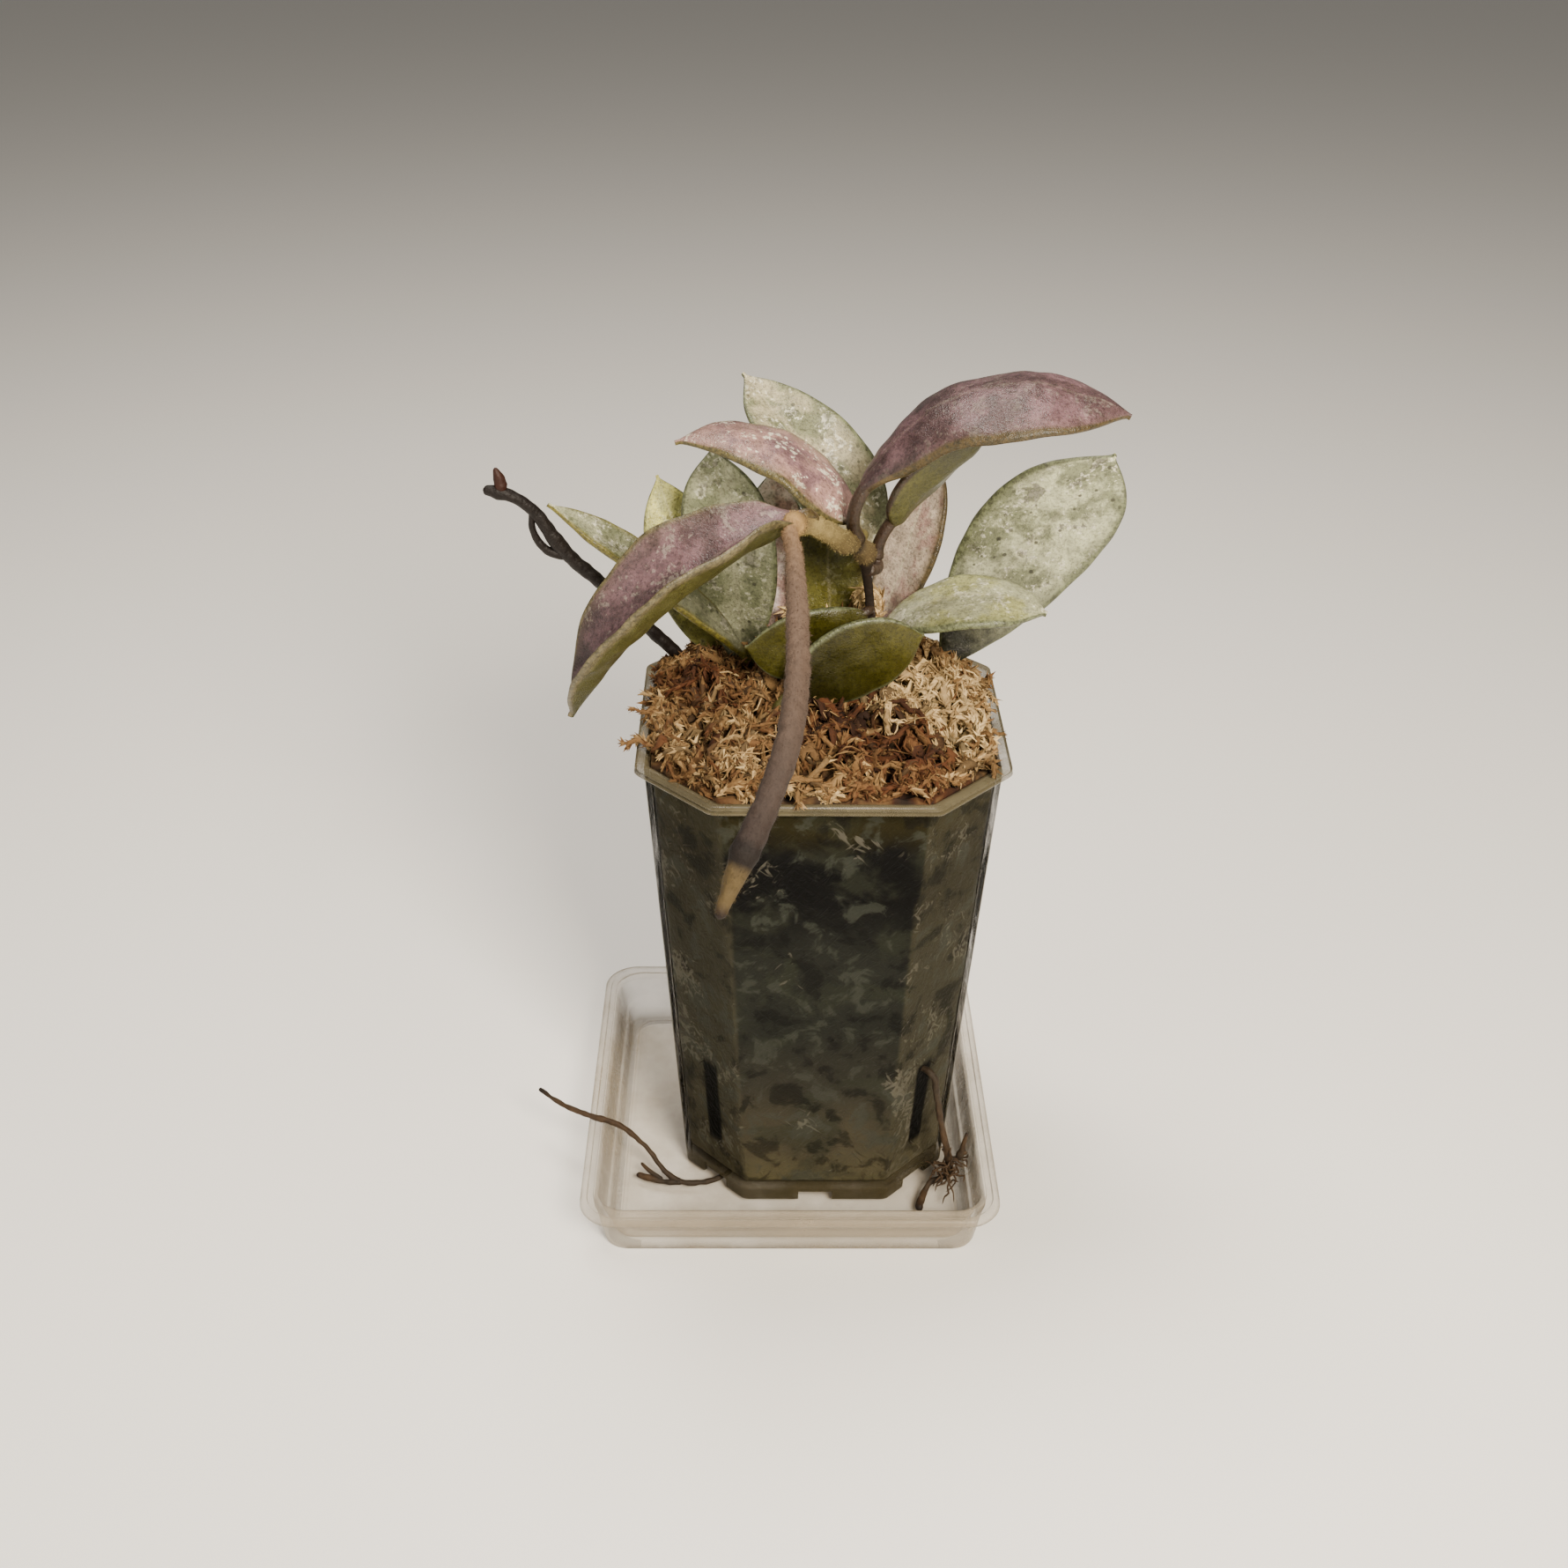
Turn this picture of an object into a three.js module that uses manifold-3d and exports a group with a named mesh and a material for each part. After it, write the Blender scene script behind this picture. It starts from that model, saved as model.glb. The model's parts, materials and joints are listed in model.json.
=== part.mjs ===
// A hoya in a clear nursery pot, on a clear square saucer.
// Millimetres, +Z up. The origin is the middle of the saucer's flat underside, X runs to the
// right and Y to the back. Every leaf, stem and root is a body of its own. What grows out of the
// moss stands in a hole in it, and what joins the vine meets it across a gap of 0.3 mm.
import * as THREE from 'three';
import { mergeVertices } from 'three/addons/utils/BufferGeometryUtils.js';
import Module from 'manifold-3d';

const wasm = await Module();
wasm.setup();

// ---- Driving dimensions -------------------------------------------------------------------

// GAP is between neighbouring bodies. A flat-sided tube is nearer at its flats than its corners,
// so the holes in the moss take a little more.
const GAP = 0.3;
const HOLE_GAP = 0.5;

// The saucer is a tray with a flat flange round its top and a shallow groove in the flange.
const SAUCER = {
  height: 12, floor: 1.2, baseHalf: 38, bodyHalf: 39.6, flangeHalf: 42.4, flangeDrop: 2,
  innerFloorHalf: 36, innerTopHalf: 38.8, groove: { inner: 39.7, outer: 41, depth: 0.7 },
  cornerRadius: 7, cornerSteps: 4, edgeBreak: 0.4,
};

// The lip is a band with two beads: out is how far each ring stands back from lipHalf, and up is
// its height above the shoulder. A skirt lifts the floor off the saucer.
const POT = {
  centre: [5.4, 2], bottom: SAUCER.floor + GAP, lipTop: 102.5, lipHeight: 1.8, lipHalf: 35,
  lipChamfer: 14.4, topHalf: 33.25, topChamfer: 13.8, baseHalf: 27.2, baseChamfer: 12.4,
  wall: 1, skirt: 3, floor: 1.2,
  lipRings: [
    { out: 0.3, up: 0.1 }, { out: 0, up: 0.7 }, { out: 0.35, up: 0.95 }, { out: 0.1, up: 1.2 },
    { out: 0.4, up: 1.8 },
  ],
};
// An upright slot on each cut corner, and notches in the foot at each corner and side.
const SLOT = { width: 4.2, bottom: 12.4, top: 34.4, inside: 23, depth: 16, roundness: 5 };
const NOTCH = { width: 7, height: 2.4, middle: 28, depth: 24 };
const DRAIN = { radius: 3.2, reach: 15, depth: 8, sides: 12 };

const MOSS = {
  edge: 101.2, mound: 4.6, moundPower: 3.2, lump: 1.3, flatterEdge: 0.4, collar: 3,
  around: 40, rings: 9, seed: 11,
};
// Strands of moss in a spiral over the mound, whose turn is the golden section. first and spread
// say how far out they start and run. Lengths and leans are the least and the most beyond it.
const TUFTS = {
  count: 46, turn: 0.618034, first: 0.2, spread: 0.68, length: 6.6, lengthMore: 5.8,
  lean: 0.55, leanMore: 0.35, swing: 2.6,
};
const STRAND = { radius: 0.75, depth: 2.4, sides: 3, parts: 3 };
// x, y, the way it leans in radians, and its length: the tuft behind the low leaves, and the
// strays that reach out over the pot's lip.
const TALL_STRANDS = [
  [11.4, 13.4, 2.9, 33], [6.8, 14.2, 0.4, 30], [9.4, 12.4, 5.1, 24], [3, 15, 3, 24],
  [0.2, 15.4, 0.3, 20], [-3, 14.6, 2.4, 17], [29, 12, 1, 11],
];
const STRAY_STRANDS = [[-21, 8, 3.4, 12], [-21, -14, 3.3, 11], [32, -4, 0.2, 10], [30, 14, 0.5, 10]];
const TALL = { rootedAt: 105, lean: 0.14 };
const STRAY = { rootedAt: 103.6, lean: 0.9 };

// The blade is thinner towards its tip: its thickness is a share of the most, tipThickness at the
// very tip and more by thinning for each unit of s back from it, up to the whole. The neck is how
// far the petiole's round thickness runs on into the blade. A marginPower under 1 keeps the blade
// thick out to its blunt margins, where 1 would make it a lens.
const BLADE = {
  sides: 10, steps: 12, start: 0.2, end: 0.998, halfThickness: 1.1, petioleSteps: 3,
  fullness: 1.3, drip: 16, bluntest: 0.55, neck: 0.06, tipThickness: 0.45, thinning: 2.2,
  cupCurve: 1.5, marginPower: 0.6,
};
const STEM = { sides: 8, step: 3.2 };
const ROOT = { sides: 6, step: 3.5 };

// A leaf's blade runs from base to tip. Its upper side looks along face. arch lifts the midrib
// above the straight line between them, sway bends it sideways, broad is where the blade is
// widest, and cup and twist are in degrees. The petiole runs from foot to base.
const LEAVES = {
  leaf_top_right: {
    foot: [11.2, 1.4, 139.2], petiole: 1.25, base: [12, -2, 150.3], tip: [58, -3.5, 164.5],
    face: [-0.29, -0.12, 0.95], arch: 9.6, sway: 4.6, width: 25.5, broad: 0.6, cup: -15, twist: -10,
    thick: 1.35,
  },
  leaf_top_left: {
    foot: [12.4, 5, 138.4], petiole: 1, base: [10.2, 4, 141.6], tip: [-22, 5.5, 156],
    face: [0.41, -0.11, 0.91], arch: 6.4, sway: -2.8, width: 21, broad: 0.37, cup: -8, twist: 0,
  },
  leaf_front_left: {
    foot: [2.4, -11.4, 148.6], petiole: 1.1, base: [0.8, -13.4, 150], tip: [-40.4, -20.3, 114],
    face: [-0.63, -0.19, 0.75], arch: 6.9, sway: 3.4, width: 24, broad: 0.48, cup: 34, twist: 11,
    thick: 1.35,
  },
  leaf_back_left: {
    foot: [13.6, 6, 131.2], petiole: 1, base: [15.3, 14, 130.5], tip: [-10, 31, 160.5],
    face: [0.42, -0.6, 0.68], arch: 2.8, sway: 1.2, width: 21.8, broad: 0.42, cup: 16, twist: -9,
  },
  leaf_upright_left: {
    foot: [-9, 20.4, 94], petiole: 1.2, base: [-10.4, 20.4, 103], tip: [-15.8, 18.4, 150.4],
    face: [-0.23, -0.97, -0.08], arch: 0, sway: -1.8, width: 18.6, broad: 0.62, cup: 9, twist: -10,
  },
  leaf_yellow_left: {
    foot: [-12, 25.5, 94], petiole: 1, base: [-13.6, 25.6, 103], tip: [-26.8, 29.4, 140.6],
    face: [0.15, -0.96, 0.22], arch: 1.9, sway: 0.5, width: 15.5, broad: 0.5, cup: 5, twist: 0,
  },
  leaf_narrow_left: {
    foot: [-9.4, 14.8, 94], petiole: 1, base: [-10.2, 15.1, 109.4], tip: [-46.2, 11.2, 141.7],
    face: [0.73, -0.25, 0.64], arch: 0.8, sway: -1.3, width: 10, broad: 0.52, cup: 12, twist: 6,
  },
  leaf_big_right: {
    foot: [28.5, 17.5, 94], petiole: 1.3, base: [30.4, 18.4, 105], tip: [59.3, 13, 151.4],
    face: [0.05, -0.99, -0.15], arch: -4.8, sway: 0, width: 26.4, broad: 0.62, cup: 4, twist: 12,
    thick: 1.2,
  },
  leaf_mauve_back: {
    foot: [17, 19, 94], petiole: 1.1, base: [17.4, 19.4, 113], tip: [27.4, 24.4, 146.6],
    face: [-0.68, -0.66, 0.32], arch: 0.3, sway: -1.3, width: 14.4, broad: 0.5, cup: 8, twist: 0,
  },
  leaf_under_right: {
    foot: [15, 4.6, 134.6], petiole: 1.15, base: [17.6, 4.4, 141.4], tip: [35.8, 9.5, 158],
    face: [-0.63, 0.6, 0.5], arch: 0.4, sway: -0.9, width: 15.2, broad: 0.38, cup: 8, twist: 11,
  },
  leaf_low_right: {
    foot: [14.8, 8.4, 119], petiole: 1, base: [17.5, 5, 119.9], tip: [47.4, 2, 124],
    face: [-0.15, -0.1, 0.98], arch: 3.2, sway: 1.9, width: 18.2, broad: 0.53, cup: -3, twist: 0,
    thick: 1.4,
  },
  leaf_front_low: {
    foot: [-1, -4.2, 96], petiole: 1.2, base: [-0.5, -4.8, 110.2], tip: [24.2, -1.9, 121.6],
    face: [-0.21, 0.96, 0.16], arch: 0, sway: -1, width: 17.8, broad: 0.5, cup: 2, twist: 0,
  },
  leaf_behind_low: {
    foot: [14.4, 8, 121.8], petiole: 0.9, base: [13.4, 5.6, 122.4], tip: [-9.4, 1.8, 117],
    face: [-0.22, 0.97, 0.07], arch: -1.2, sway: -2.5, width: 15, broad: 0.5, cup: -2, twist: 0,
  },
  leaf_shaded_back: {
    foot: [7.8, 18.6, 94], petiole: 1, base: [8.2, 19.2, 104], tip: [6.2, 24.2, 139],
    face: [-0.1, -0.95, 0.2], arch: 0.5, sway: 0, width: 15.6, broad: 0.5, cup: 6, twist: 0,
  },
  leaf_lilac_back: {
    foot: [-3, 24.5, 94], petiole: 1, base: [-4.6, 25, 103], tip: [-4, 28.4, 142.6],
    face: [0.1, -0.97, 0.15], arch: 0.8, sway: 0, width: 14.5, broad: 0.52, cup: 5, twist: 0,
  },
};

const LEAF_FINISH = {
  leaf_top_right: 0x8c7076, leaf_top_left: 0x94787c, leaf_front_left: 0x80626a,
  leaf_back_left: 0x98a08a, leaf_upright_left: 0x8c9684, leaf_yellow_left: 0x9aa074,
  leaf_narrow_left: 0x8c8c72, leaf_big_right: 0x929c86, leaf_mauve_back: 0x7c706c,
  leaf_under_right: 0x8e9560, leaf_low_right: 0x8b9480, leaf_front_low: 0x5c6230,
  leaf_behind_low: 0x4c5434, leaf_shaded_back: 0x3c4626, leaf_lilac_back: 0x8d8f94,
};

// Each point of a stem or root is x, y, z and its radius there.
const VINE = [
  [14, 10, 94, 0.9], [14.2, 9.6, 106, 0.9], [14.6, 9, 114, 0.85], [14.7, 8.4, 120.7, 0.9],
  [14, 7.6, 126.7, 0.85], [13.4, 5.8, 131.5, 1], [13, 3.4, 135.6, 2],
  [11, 0.4, 138.6, 1.55], [8.6, -3, 140.6, 2.05], [6.4, -6.3, 143.4, 1.85],
  [2.8, -11, 147.2, 1.75], [-0.4, -15, 149.2, 1.9], [-1.4, -19, 149.6, 1.3],
  [-0.9, -28, 150, 1.35], [-0.7, -37, 149.8, 1.5], [-0.6, -51, 148.6, 1.75],
  [-0.8, -65, 144.7, 1.9], [-2.4, -76, 139.5, 2], [-5.6, -83, 133.3, 2],
  [-8.5, -88, 128.9, 2.2], [-11, -91, 123.6, 1.5], [-12.2, -93, 121, 0.8],
];
const BARE_SHOOT = [
  [-20.5, 20.4, 95, 1.2], [-21.9, 20, 104.3, 1.25], [-27.9, 18, 112.3, 1.3],
  [-37.7, 16, 123.9, 1.3], [-42.5, 15, 129, 1.35], [-45.4, 14.2, 133.2, 1.5],
  [-48.8, 13.2, 139.2, 1.15], [-52.2, 12.3, 142.5, 1.1], [-55.2, 12, 143.7, 1.3],
  [-58.1, 12, 144.3, 0.9],
];
const SHOOT_LOOP = [
  [-49.4, 13, 139.6, 0.6], [-49.6, 13.4, 136.2, 0.65], [-48.6, 13.9, 133, 0.75],
  [-46.8, 14.3, 130.9, 0.9], [-43.6, 14.8, 129.6, 0.9],
];
const BUD = [
  [-54.2, 12, 143.8, 0.7], [-54.7, 12, 145, 1.25], [-55, 12, 146.6, 1.1], [-55.6, 12, 148.6, 0.35],
];
const ROOT_LEFT = {
  main: [
    [-4.8, -8.2, 12, 0.6], [-5.2, -8.6, 6.4, 0.6], [-6.2, -9.8, 3.3, 0.6], [-9, -13.2, 2.5, 0.6],
    [-15, -19.6, 2.3, 0.55], [-21.5, -21, 2.3, 0.65], [-25.4, -19.4, 3.1, 0.6],
    [-30.4, -15.4, 7.4, 0.5], [-36, -14.4, 12.5, 0.65], [-41.2, -12.9, 13.3, 0.6],
    [-48, -9.2, 13.4, 0.55], [-53.8, -3.8, 13.3, 0.4],
  ],
  branches: [
    [[-22.5, -21, 2.4, 0.6], [-27, -20.4, 2.2, 0.6], [-30.4, -19.2, 2.3, 0.75], [-32.3, -18.6, 2.4, 0.45]],
    [[-26.6, -20.2, 2.3, 0.5], [-29.4, -18.6, 3.3, 0.45], [-31.4, -16.6, 3.9, 0.35]],
  ],
};
const ROOT_RIGHT = {
  main: [
    [21.5, -14.4, 31, 0.7], [25.2, -18.2, 32.4, 0.7], [28.8, -21.8, 32.2, 0.75],
    [29.8, -22.6, 27.6, 0.65], [31, -23, 20.6, 0.65], [32.4, -23.2, 14.4, 0.75],
    [33.4, -21.6, 8, 0.65],
  ],
  branches: [
    [
      [33, -22.2, 10.4, 0.6], [34.9, -22, 10, 0.6], [35.7, -22, 11.5, 0.8], [36, -22, 13.7, 0.5],
      [36.4, -22, 15.9, 0.5], [36.7, -22, 17.2, 0.35],
    ],
    [[35.5, -22, 11.2, 0.6], [36.4, -22.3, 12, 0.5], [37, -22.6, 12.3, 0.4]],
    [
      [33.4, -21.7, 8.6, 0.65], [33.8, -21.9, 6.2, 0.7], [31.6, -22.3, 4.9, 0.65],
      [29.6, -22.8, 4.3, 0.6], [28.4, -24.2, 3.1, 0.6], [27.4, -26.6, 2.5, 0.9],
      [26.8, -29, 2.4, 0.7],
    ],
  ],
};

// ---- Vectors and solids --------------------------------------------------------------------

const vec = (p) => new THREE.Vector3(p[0], p[1], p[2]);
const radians = THREE.MathUtils.degToRad;

// Random numbers that are the same in every run.
function seededRandom(seed) {
  let state = seed;
  return () => {
    state = (state * 1664525 + 1013904223) % 4294967296;
    return state / 4294967296;
  };
}

function meshGeometry(points, faces) {
  const geometry = new THREE.BufferGeometry();
  geometry.setAttribute('position', new THREE.Float32BufferAttribute(points.flat(), 3));
  geometry.setIndex(faces.flat());
  return geometry;
}

function toSolid(source) {
  const bare = source.clone();
  bare.deleteAttribute('normal');
  bare.deleteAttribute('uv');
  const geometry = mergeVertices(bare, 1e-4);
  return new wasm.Manifold(new wasm.Mesh({
    numProp: 3,
    vertProperties: new Float32Array(geometry.attributes.position.array),
    triVerts: new Uint32Array(geometry.index.array),
  }));
}

function toGeometry(solid) {
  const { vertProperties, triVerts } = solid.getMesh();
  const geometry = new THREE.BufferGeometry();
  geometry.setAttribute('position', new THREE.BufferAttribute(new Float32Array(vertProperties), 3));
  geometry.setIndex(new THREE.BufferAttribute(new Uint32Array(triVerts), 1));
  return geometry;
}

// Rings of the same count of points, one above the next, are skinned and closed at both ends.
// A ring runs anticlockwise as seen from beyond the last ring.
function skin(rings) {
  const count = rings[0].length;
  const points = rings.flat();
  const faces = [];
  for (let r = 0; r + 1 < rings.length; r += 1) {
    for (let i = 0; i < count; i += 1) {
      const a = r * count + i;
      const b = r * count + (i + 1) % count;
      faces.push([a, b, b + count], [a, b + count, a + count]);
    }
  }
  const middle = (ring) => [0, 1, 2].map((k) => ring.reduce((sum, p) => sum + p[k], 0) / count);
  const last = (rings.length - 1) * count;
  const start = points.push(middle(rings[0])) - 1;
  const end = points.push(middle(rings[rings.length - 1])) - 1;
  for (let i = 0; i < count; i += 1) {
    const next = (i + 1) % count;
    faces.push([start, next, i], [end, last + i, last + next]);
  }
  return meshGeometry(points, faces);
}

// ---- Stems and roots -----------------------------------------------------------------------

// A round tube whose radius changes along a smooth curve through its points. Every ring is
// turned as little as possible from the one before, so the tube doesn't twist.
function tube(route, { sides, step }, grow = 0) {
  const curve = new THREE.CatmullRomCurve3(route.map(vec), false, 'centripetal');
  const total = curve.getLength();
  const steps = Math.max(3, Math.round(total / step));
  const rings = [];
  let side = null;
  for (let i = 0; i <= steps; i += 1) {
    const at = i / steps;
    const t = curve.getUtoTmapping(at);
    const centre = curve.getPoint(t);
    const along = curve.getTangent(t).normalize();
    if (i === 0) centre.addScaledVector(along, -grow);
    if (i === steps) centre.addScaledVector(along, grow);
    side = side ?? new THREE.Vector3(0.3, 0.9, 0.1);
    side.addScaledVector(along, -side.dot(along)).normalize();
    const up = new THREE.Vector3().crossVectors(along, side);
    const spot = t * (route.length - 1);
    const k = Math.min(Math.floor(spot), route.length - 2);
    const radius = THREE.MathUtils.lerp(route[k][3], route[k + 1][3], spot - k) + grow;
    rings.push(ringOf(sides, (cos, sin) => centre.clone()
      .addScaledVector(side, radius * cos).addScaledVector(up, radius * sin)));
  }
  return toSolid(skin(rings));
}

function ringOf(sides, place) {
  const ring = [];
  for (let j = 0; j < sides; j += 1) {
    const angle = (j + 0.5) * 2 * Math.PI / sides;
    const point = place(Math.cos(angle), Math.sin(angle));
    ring.push([point.x, point.y, point.z]);
  }
  return ring;
}

// ---- Leaves --------------------------------------------------------------------------------

// Half of the blade's width at s, from 0 at the base to 0 at the tip, as a share of its most.
// The last factor draws the tip out to a short point.
function outline(s, broad) {
  const p = BLADE.fullness * broad;
  const q = BLADE.fullness * (1 - broad);
  return (s ** p * (1 - s) ** q) / (broad ** p * (1 - broad) ** q) * (1 - s ** BLADE.drip);
}

// A leaf is one tube that is round along the petiole and flattens into the blade. Across the
// blade its section is a lens with blunt margins, bent up or down by the cup.
function leaf(spec, grow = 0) {
  const [base, tip, foot] = [spec.base, spec.tip, spec.foot].map(vec);
  const chord = tip.clone().sub(base);
  const axis = chord.clone().normalize();
  const face = vec(spec.face);
  face.addScaledVector(axis, -face.dot(axis)).normalize();
  const across = new THREE.Vector3().crossVectors(face, axis);
  const bend = face.clone().multiplyScalar(spec.arch).addScaledVector(across, spec.sway);
  const midrib = (s) => base.clone().addScaledVector(chord, s).addScaledVector(bend, 4 * s * (1 - s));
  const direction = (s) => chord.clone().addScaledVector(bend, 4 * (1 - 2 * s)).normalize();
  const half = (spec.thick ?? BLADE.halfThickness) + grow;
  const round = spec.petiole + grow;
  const rings = [];

  const elbow = base.clone().addScaledVector(direction(0), -0.5 * base.distanceTo(foot));
  const stalk = new THREE.QuadraticBezierCurve3(foot, elbow, base);
  for (let i = 0; i < BLADE.petioleSteps; i += 1) {
    const t = i / BLADE.petioleSteps;
    const along = stalk.getTangent(t);
    const centre = stalk.getPoint(t);
    if (i === 0) centre.addScaledVector(along, -grow);
    rings.push(section(centre, along, face, round, round, 1, 0, 0));
  }
  for (let i = 0; i < BLADE.steps; i += 1) {
    const way = (i + BLADE.start) / (BLADE.steps - 1 + BLADE.start);
    const s = BLADE.end * Math.sin(Math.PI / 2 * way) ** 2;
    const reach = Math.max(spec.width / 2 * outline(s, spec.broad) + grow, BLADE.bluntest * half);
    const width = s < BLADE.neck ? Math.max(reach, round) : reach;
    const height = half * Math.min(1, BLADE.tipThickness + BLADE.thinning * (1 - s));
    rings.push(section(midrib(s), direction(s), face, width, height, BLADE.marginPower,
      radians(spec.cup), radians(spec.twist) * (s - 0.5)));
  }
  return toSolid(skin(rings));
}

function section(centre, along, face, width, height, power, cup, turn) {
  const flat = new THREE.Vector3().crossVectors(face, along).normalize();
  const rise = new THREE.Vector3().crossVectors(along, flat);
  const side = flat.clone().multiplyScalar(Math.cos(turn)).addScaledVector(rise, Math.sin(turn));
  const up = rise.clone().multiplyScalar(Math.cos(turn)).addScaledVector(flat, -Math.sin(turn));
  const edge = Math.cos(Math.PI / BLADE.sides);
  return ringOf(BLADE.sides, (cos, sin) => {
    const u = cos / edge;
    const v = Math.sign(sin) * Math.abs(sin) ** power;
    return centre.clone().addScaledVector(side, u * width * Math.cos(cup))
      .addScaledVector(up, height * v + Math.abs(u) ** BLADE.cupCurve * width * Math.sin(cup));
  });
}

// ---- Pot and saucer ------------------------------------------------------------------------

// A square with its corners cut off, at height z: leg is how much each cut takes off a side.
function chamferedSquare(half, leg, z, [cx, cy] = POT.centre) {
  const short = half - leg;
  return [
    [half, -short], [half, short], [short, half], [-short, half],
    [-half, short], [-half, -short], [-short, -half], [short, -half],
  ].map(([x, y]) => [cx + x, cy + y, z]);
}

function roundedSquare(half, radius, z) {
  const ring = [];
  for (let corner = 0; corner < 4; corner += 1) {
    for (let i = 0; i <= SAUCER.cornerSteps; i += 1) {
      const angle = (corner + i / SAUCER.cornerSteps) * Math.PI / 2;
      const turn = Math.PI / 4 + corner * Math.PI / 2;
      const middle = (half - radius) * Math.SQRT2;
      ring.push([
        middle * Math.cos(turn) + radius * Math.cos(angle),
        middle * Math.sin(turn) + radius * Math.sin(angle), z,
      ]);
    }
  }
  return ring;
}

// How far the pot's outer wall stands from its middle at height z, and its corner cut there.
function potWall(z) {
  const t = (z - POT.bottom) / (POT.lipTop - POT.lipHeight - POT.bottom);
  return {
    half: THREE.MathUtils.lerp(POT.baseHalf, POT.topHalf, t),
    leg: THREE.MathUtils.lerp(POT.baseChamfer, POT.topChamfer, t),
  };
}

// The pot's section at z, moved inwards by inset all round. The cut faces move by as much as
// the straight ones, so their leg changes by 2 minus the root of 2 times the inset.
function potRing(z, inset, at = z) {
  const { half, leg } = potWall(at);
  return chamferedSquare(half - inset, leg - inset * (2 - Math.SQRT2), z);
}

function makeSaucer() {
  const r = SAUCER.cornerRadius;
  const under = SAUCER.height - SAUCER.flangeDrop;
  const soft = SAUCER.edgeBreak;
  const outside = skin([
    roundedSquare(SAUCER.baseHalf, r - 2, 0),
    roundedSquare(SAUCER.bodyHalf, r - 1, under),
    roundedSquare(SAUCER.flangeHalf - soft, r, under + soft / 2),
    roundedSquare(SAUCER.flangeHalf, r, SAUCER.height - soft),
    roundedSquare(SAUCER.flangeHalf - soft, r, SAUCER.height),
  ]);
  const hollow = skin([
    roundedSquare(SAUCER.innerFloorHalf, r - 3, SAUCER.floor),
    roundedSquare(SAUCER.innerTopHalf, r - 2, SAUCER.height + 1),
  ]);
  const { inner, outer, depth } = SAUCER.groove;
  const ditch = skin([
    roundedSquare(outer, r - 1, SAUCER.height - depth),
    roundedSquare(outer, r - 1, SAUCER.height + 1),
  ]);
  const ridge = skin([
    roundedSquare(inner, r - 2, SAUCER.height - depth - 1),
    roundedSquare(inner, r - 2, SAUCER.height + 2),
  ]);
  return toSolid(outside).subtract(toSolid(hollow)).subtract(toSolid(ditch).subtract(toSolid(ridge)));
}

function makePot() {
  const shoulder = POT.lipTop - POT.lipHeight;
  const lip = POT.lipRings.map(
    ({ out, up }) => chamferedSquare(POT.lipHalf - out, POT.lipChamfer, shoulder + up),
  );
  const outside = skin([potRing(POT.bottom, 0), potRing(shoulder, 0), ...lip]);
  const floorTop = POT.bottom + POT.skirt + POT.floor;
  const inside = skin([potRing(floorTop, POT.wall), potRing(POT.lipTop + 1, POT.wall)]);
  const under = skin([
    potRing(POT.bottom - 1, POT.wall, POT.bottom),
    potRing(POT.bottom + POT.skirt, POT.wall),
  ]);
  let pot = toSolid(outside).subtract(toSolid(inside)).subtract(toSolid(under));
  for (let corner = 0; corner < 4; corner += 1) {
    const turn = Math.PI / 4 + corner * Math.PI / 2;
    pot = pot.subtract(slotCutter(turn)).subtract(notchCutter(turn)).subtract(drainCutter(turn))
      .subtract(notchCutter(turn - Math.PI / 4));
  }
  return pot;
}

function placed(geometry, turn, x, z) {
  geometry.translate(x, 0, z);
  geometry.rotateZ(turn);
  geometry.translate(POT.centre[0], POT.centre[1], 0);
  return toSolid(geometry);
}

// An upright slot with round ends, through the wall on the cut corner that faces turn.
function slotCutter(turn) {
  const radius = SLOT.width / 2;
  const shape = new THREE.Shape();
  shape.absarc(0, SLOT.top - radius, radius, 0, Math.PI);
  shape.absarc(0, SLOT.bottom + radius, radius, Math.PI, 2 * Math.PI);
  const bar = new THREE.ExtrudeGeometry(shape, {
    depth: SLOT.depth, bevelEnabled: false, curveSegments: SLOT.roundness,
  });
  bar.rotateX(Math.PI / 2);
  bar.rotateZ(Math.PI / 2);
  return placed(bar, turn, SLOT.inside, 0);
}

function notchCutter(turn) {
  const block = new THREE.BoxGeometry(NOTCH.depth, NOTCH.width, 2 * NOTCH.height);
  return placed(block, turn, NOTCH.middle, POT.bottom);
}

function drainCutter(turn) {
  const drill = new THREE.CylinderGeometry(DRAIN.radius, DRAIN.radius, DRAIN.depth, DRAIN.sides);
  drill.rotateX(Math.PI / 2);
  return placed(drill, turn, DRAIN.reach, POT.bottom + POT.skirt);
}

// ---- Moss ----------------------------------------------------------------------------------

// Lumps of two sizes: each size is a product of two waves that cross at an odd angle.
function lumps(x, y) {
  const coarse = Math.sin(0.62 * x + 0.25 * y + 1) * Math.sin(0.55 * y - 0.2 * x);
  const fine = Math.sin(1.25 * x - 0.7 * y + 2) * Math.sin(1.1 * y + 0.5 * x + 0.6);
  return 0.55 * coarse + 0.45 * fine;
}

// The height of the moss: a low mound that falls to its edge at the pot's wall, where its lumps
// are lower too. share is 0 in the middle and 1 at the wall.
function mossHeight(x, y, share) {
  const mound = MOSS.mound * (1 - share ** MOSS.moundPower);
  return MOSS.edge + mound + MOSS.lump * lumps(x, y) * (1 - MOSS.flatterEdge * share);
}

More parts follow.
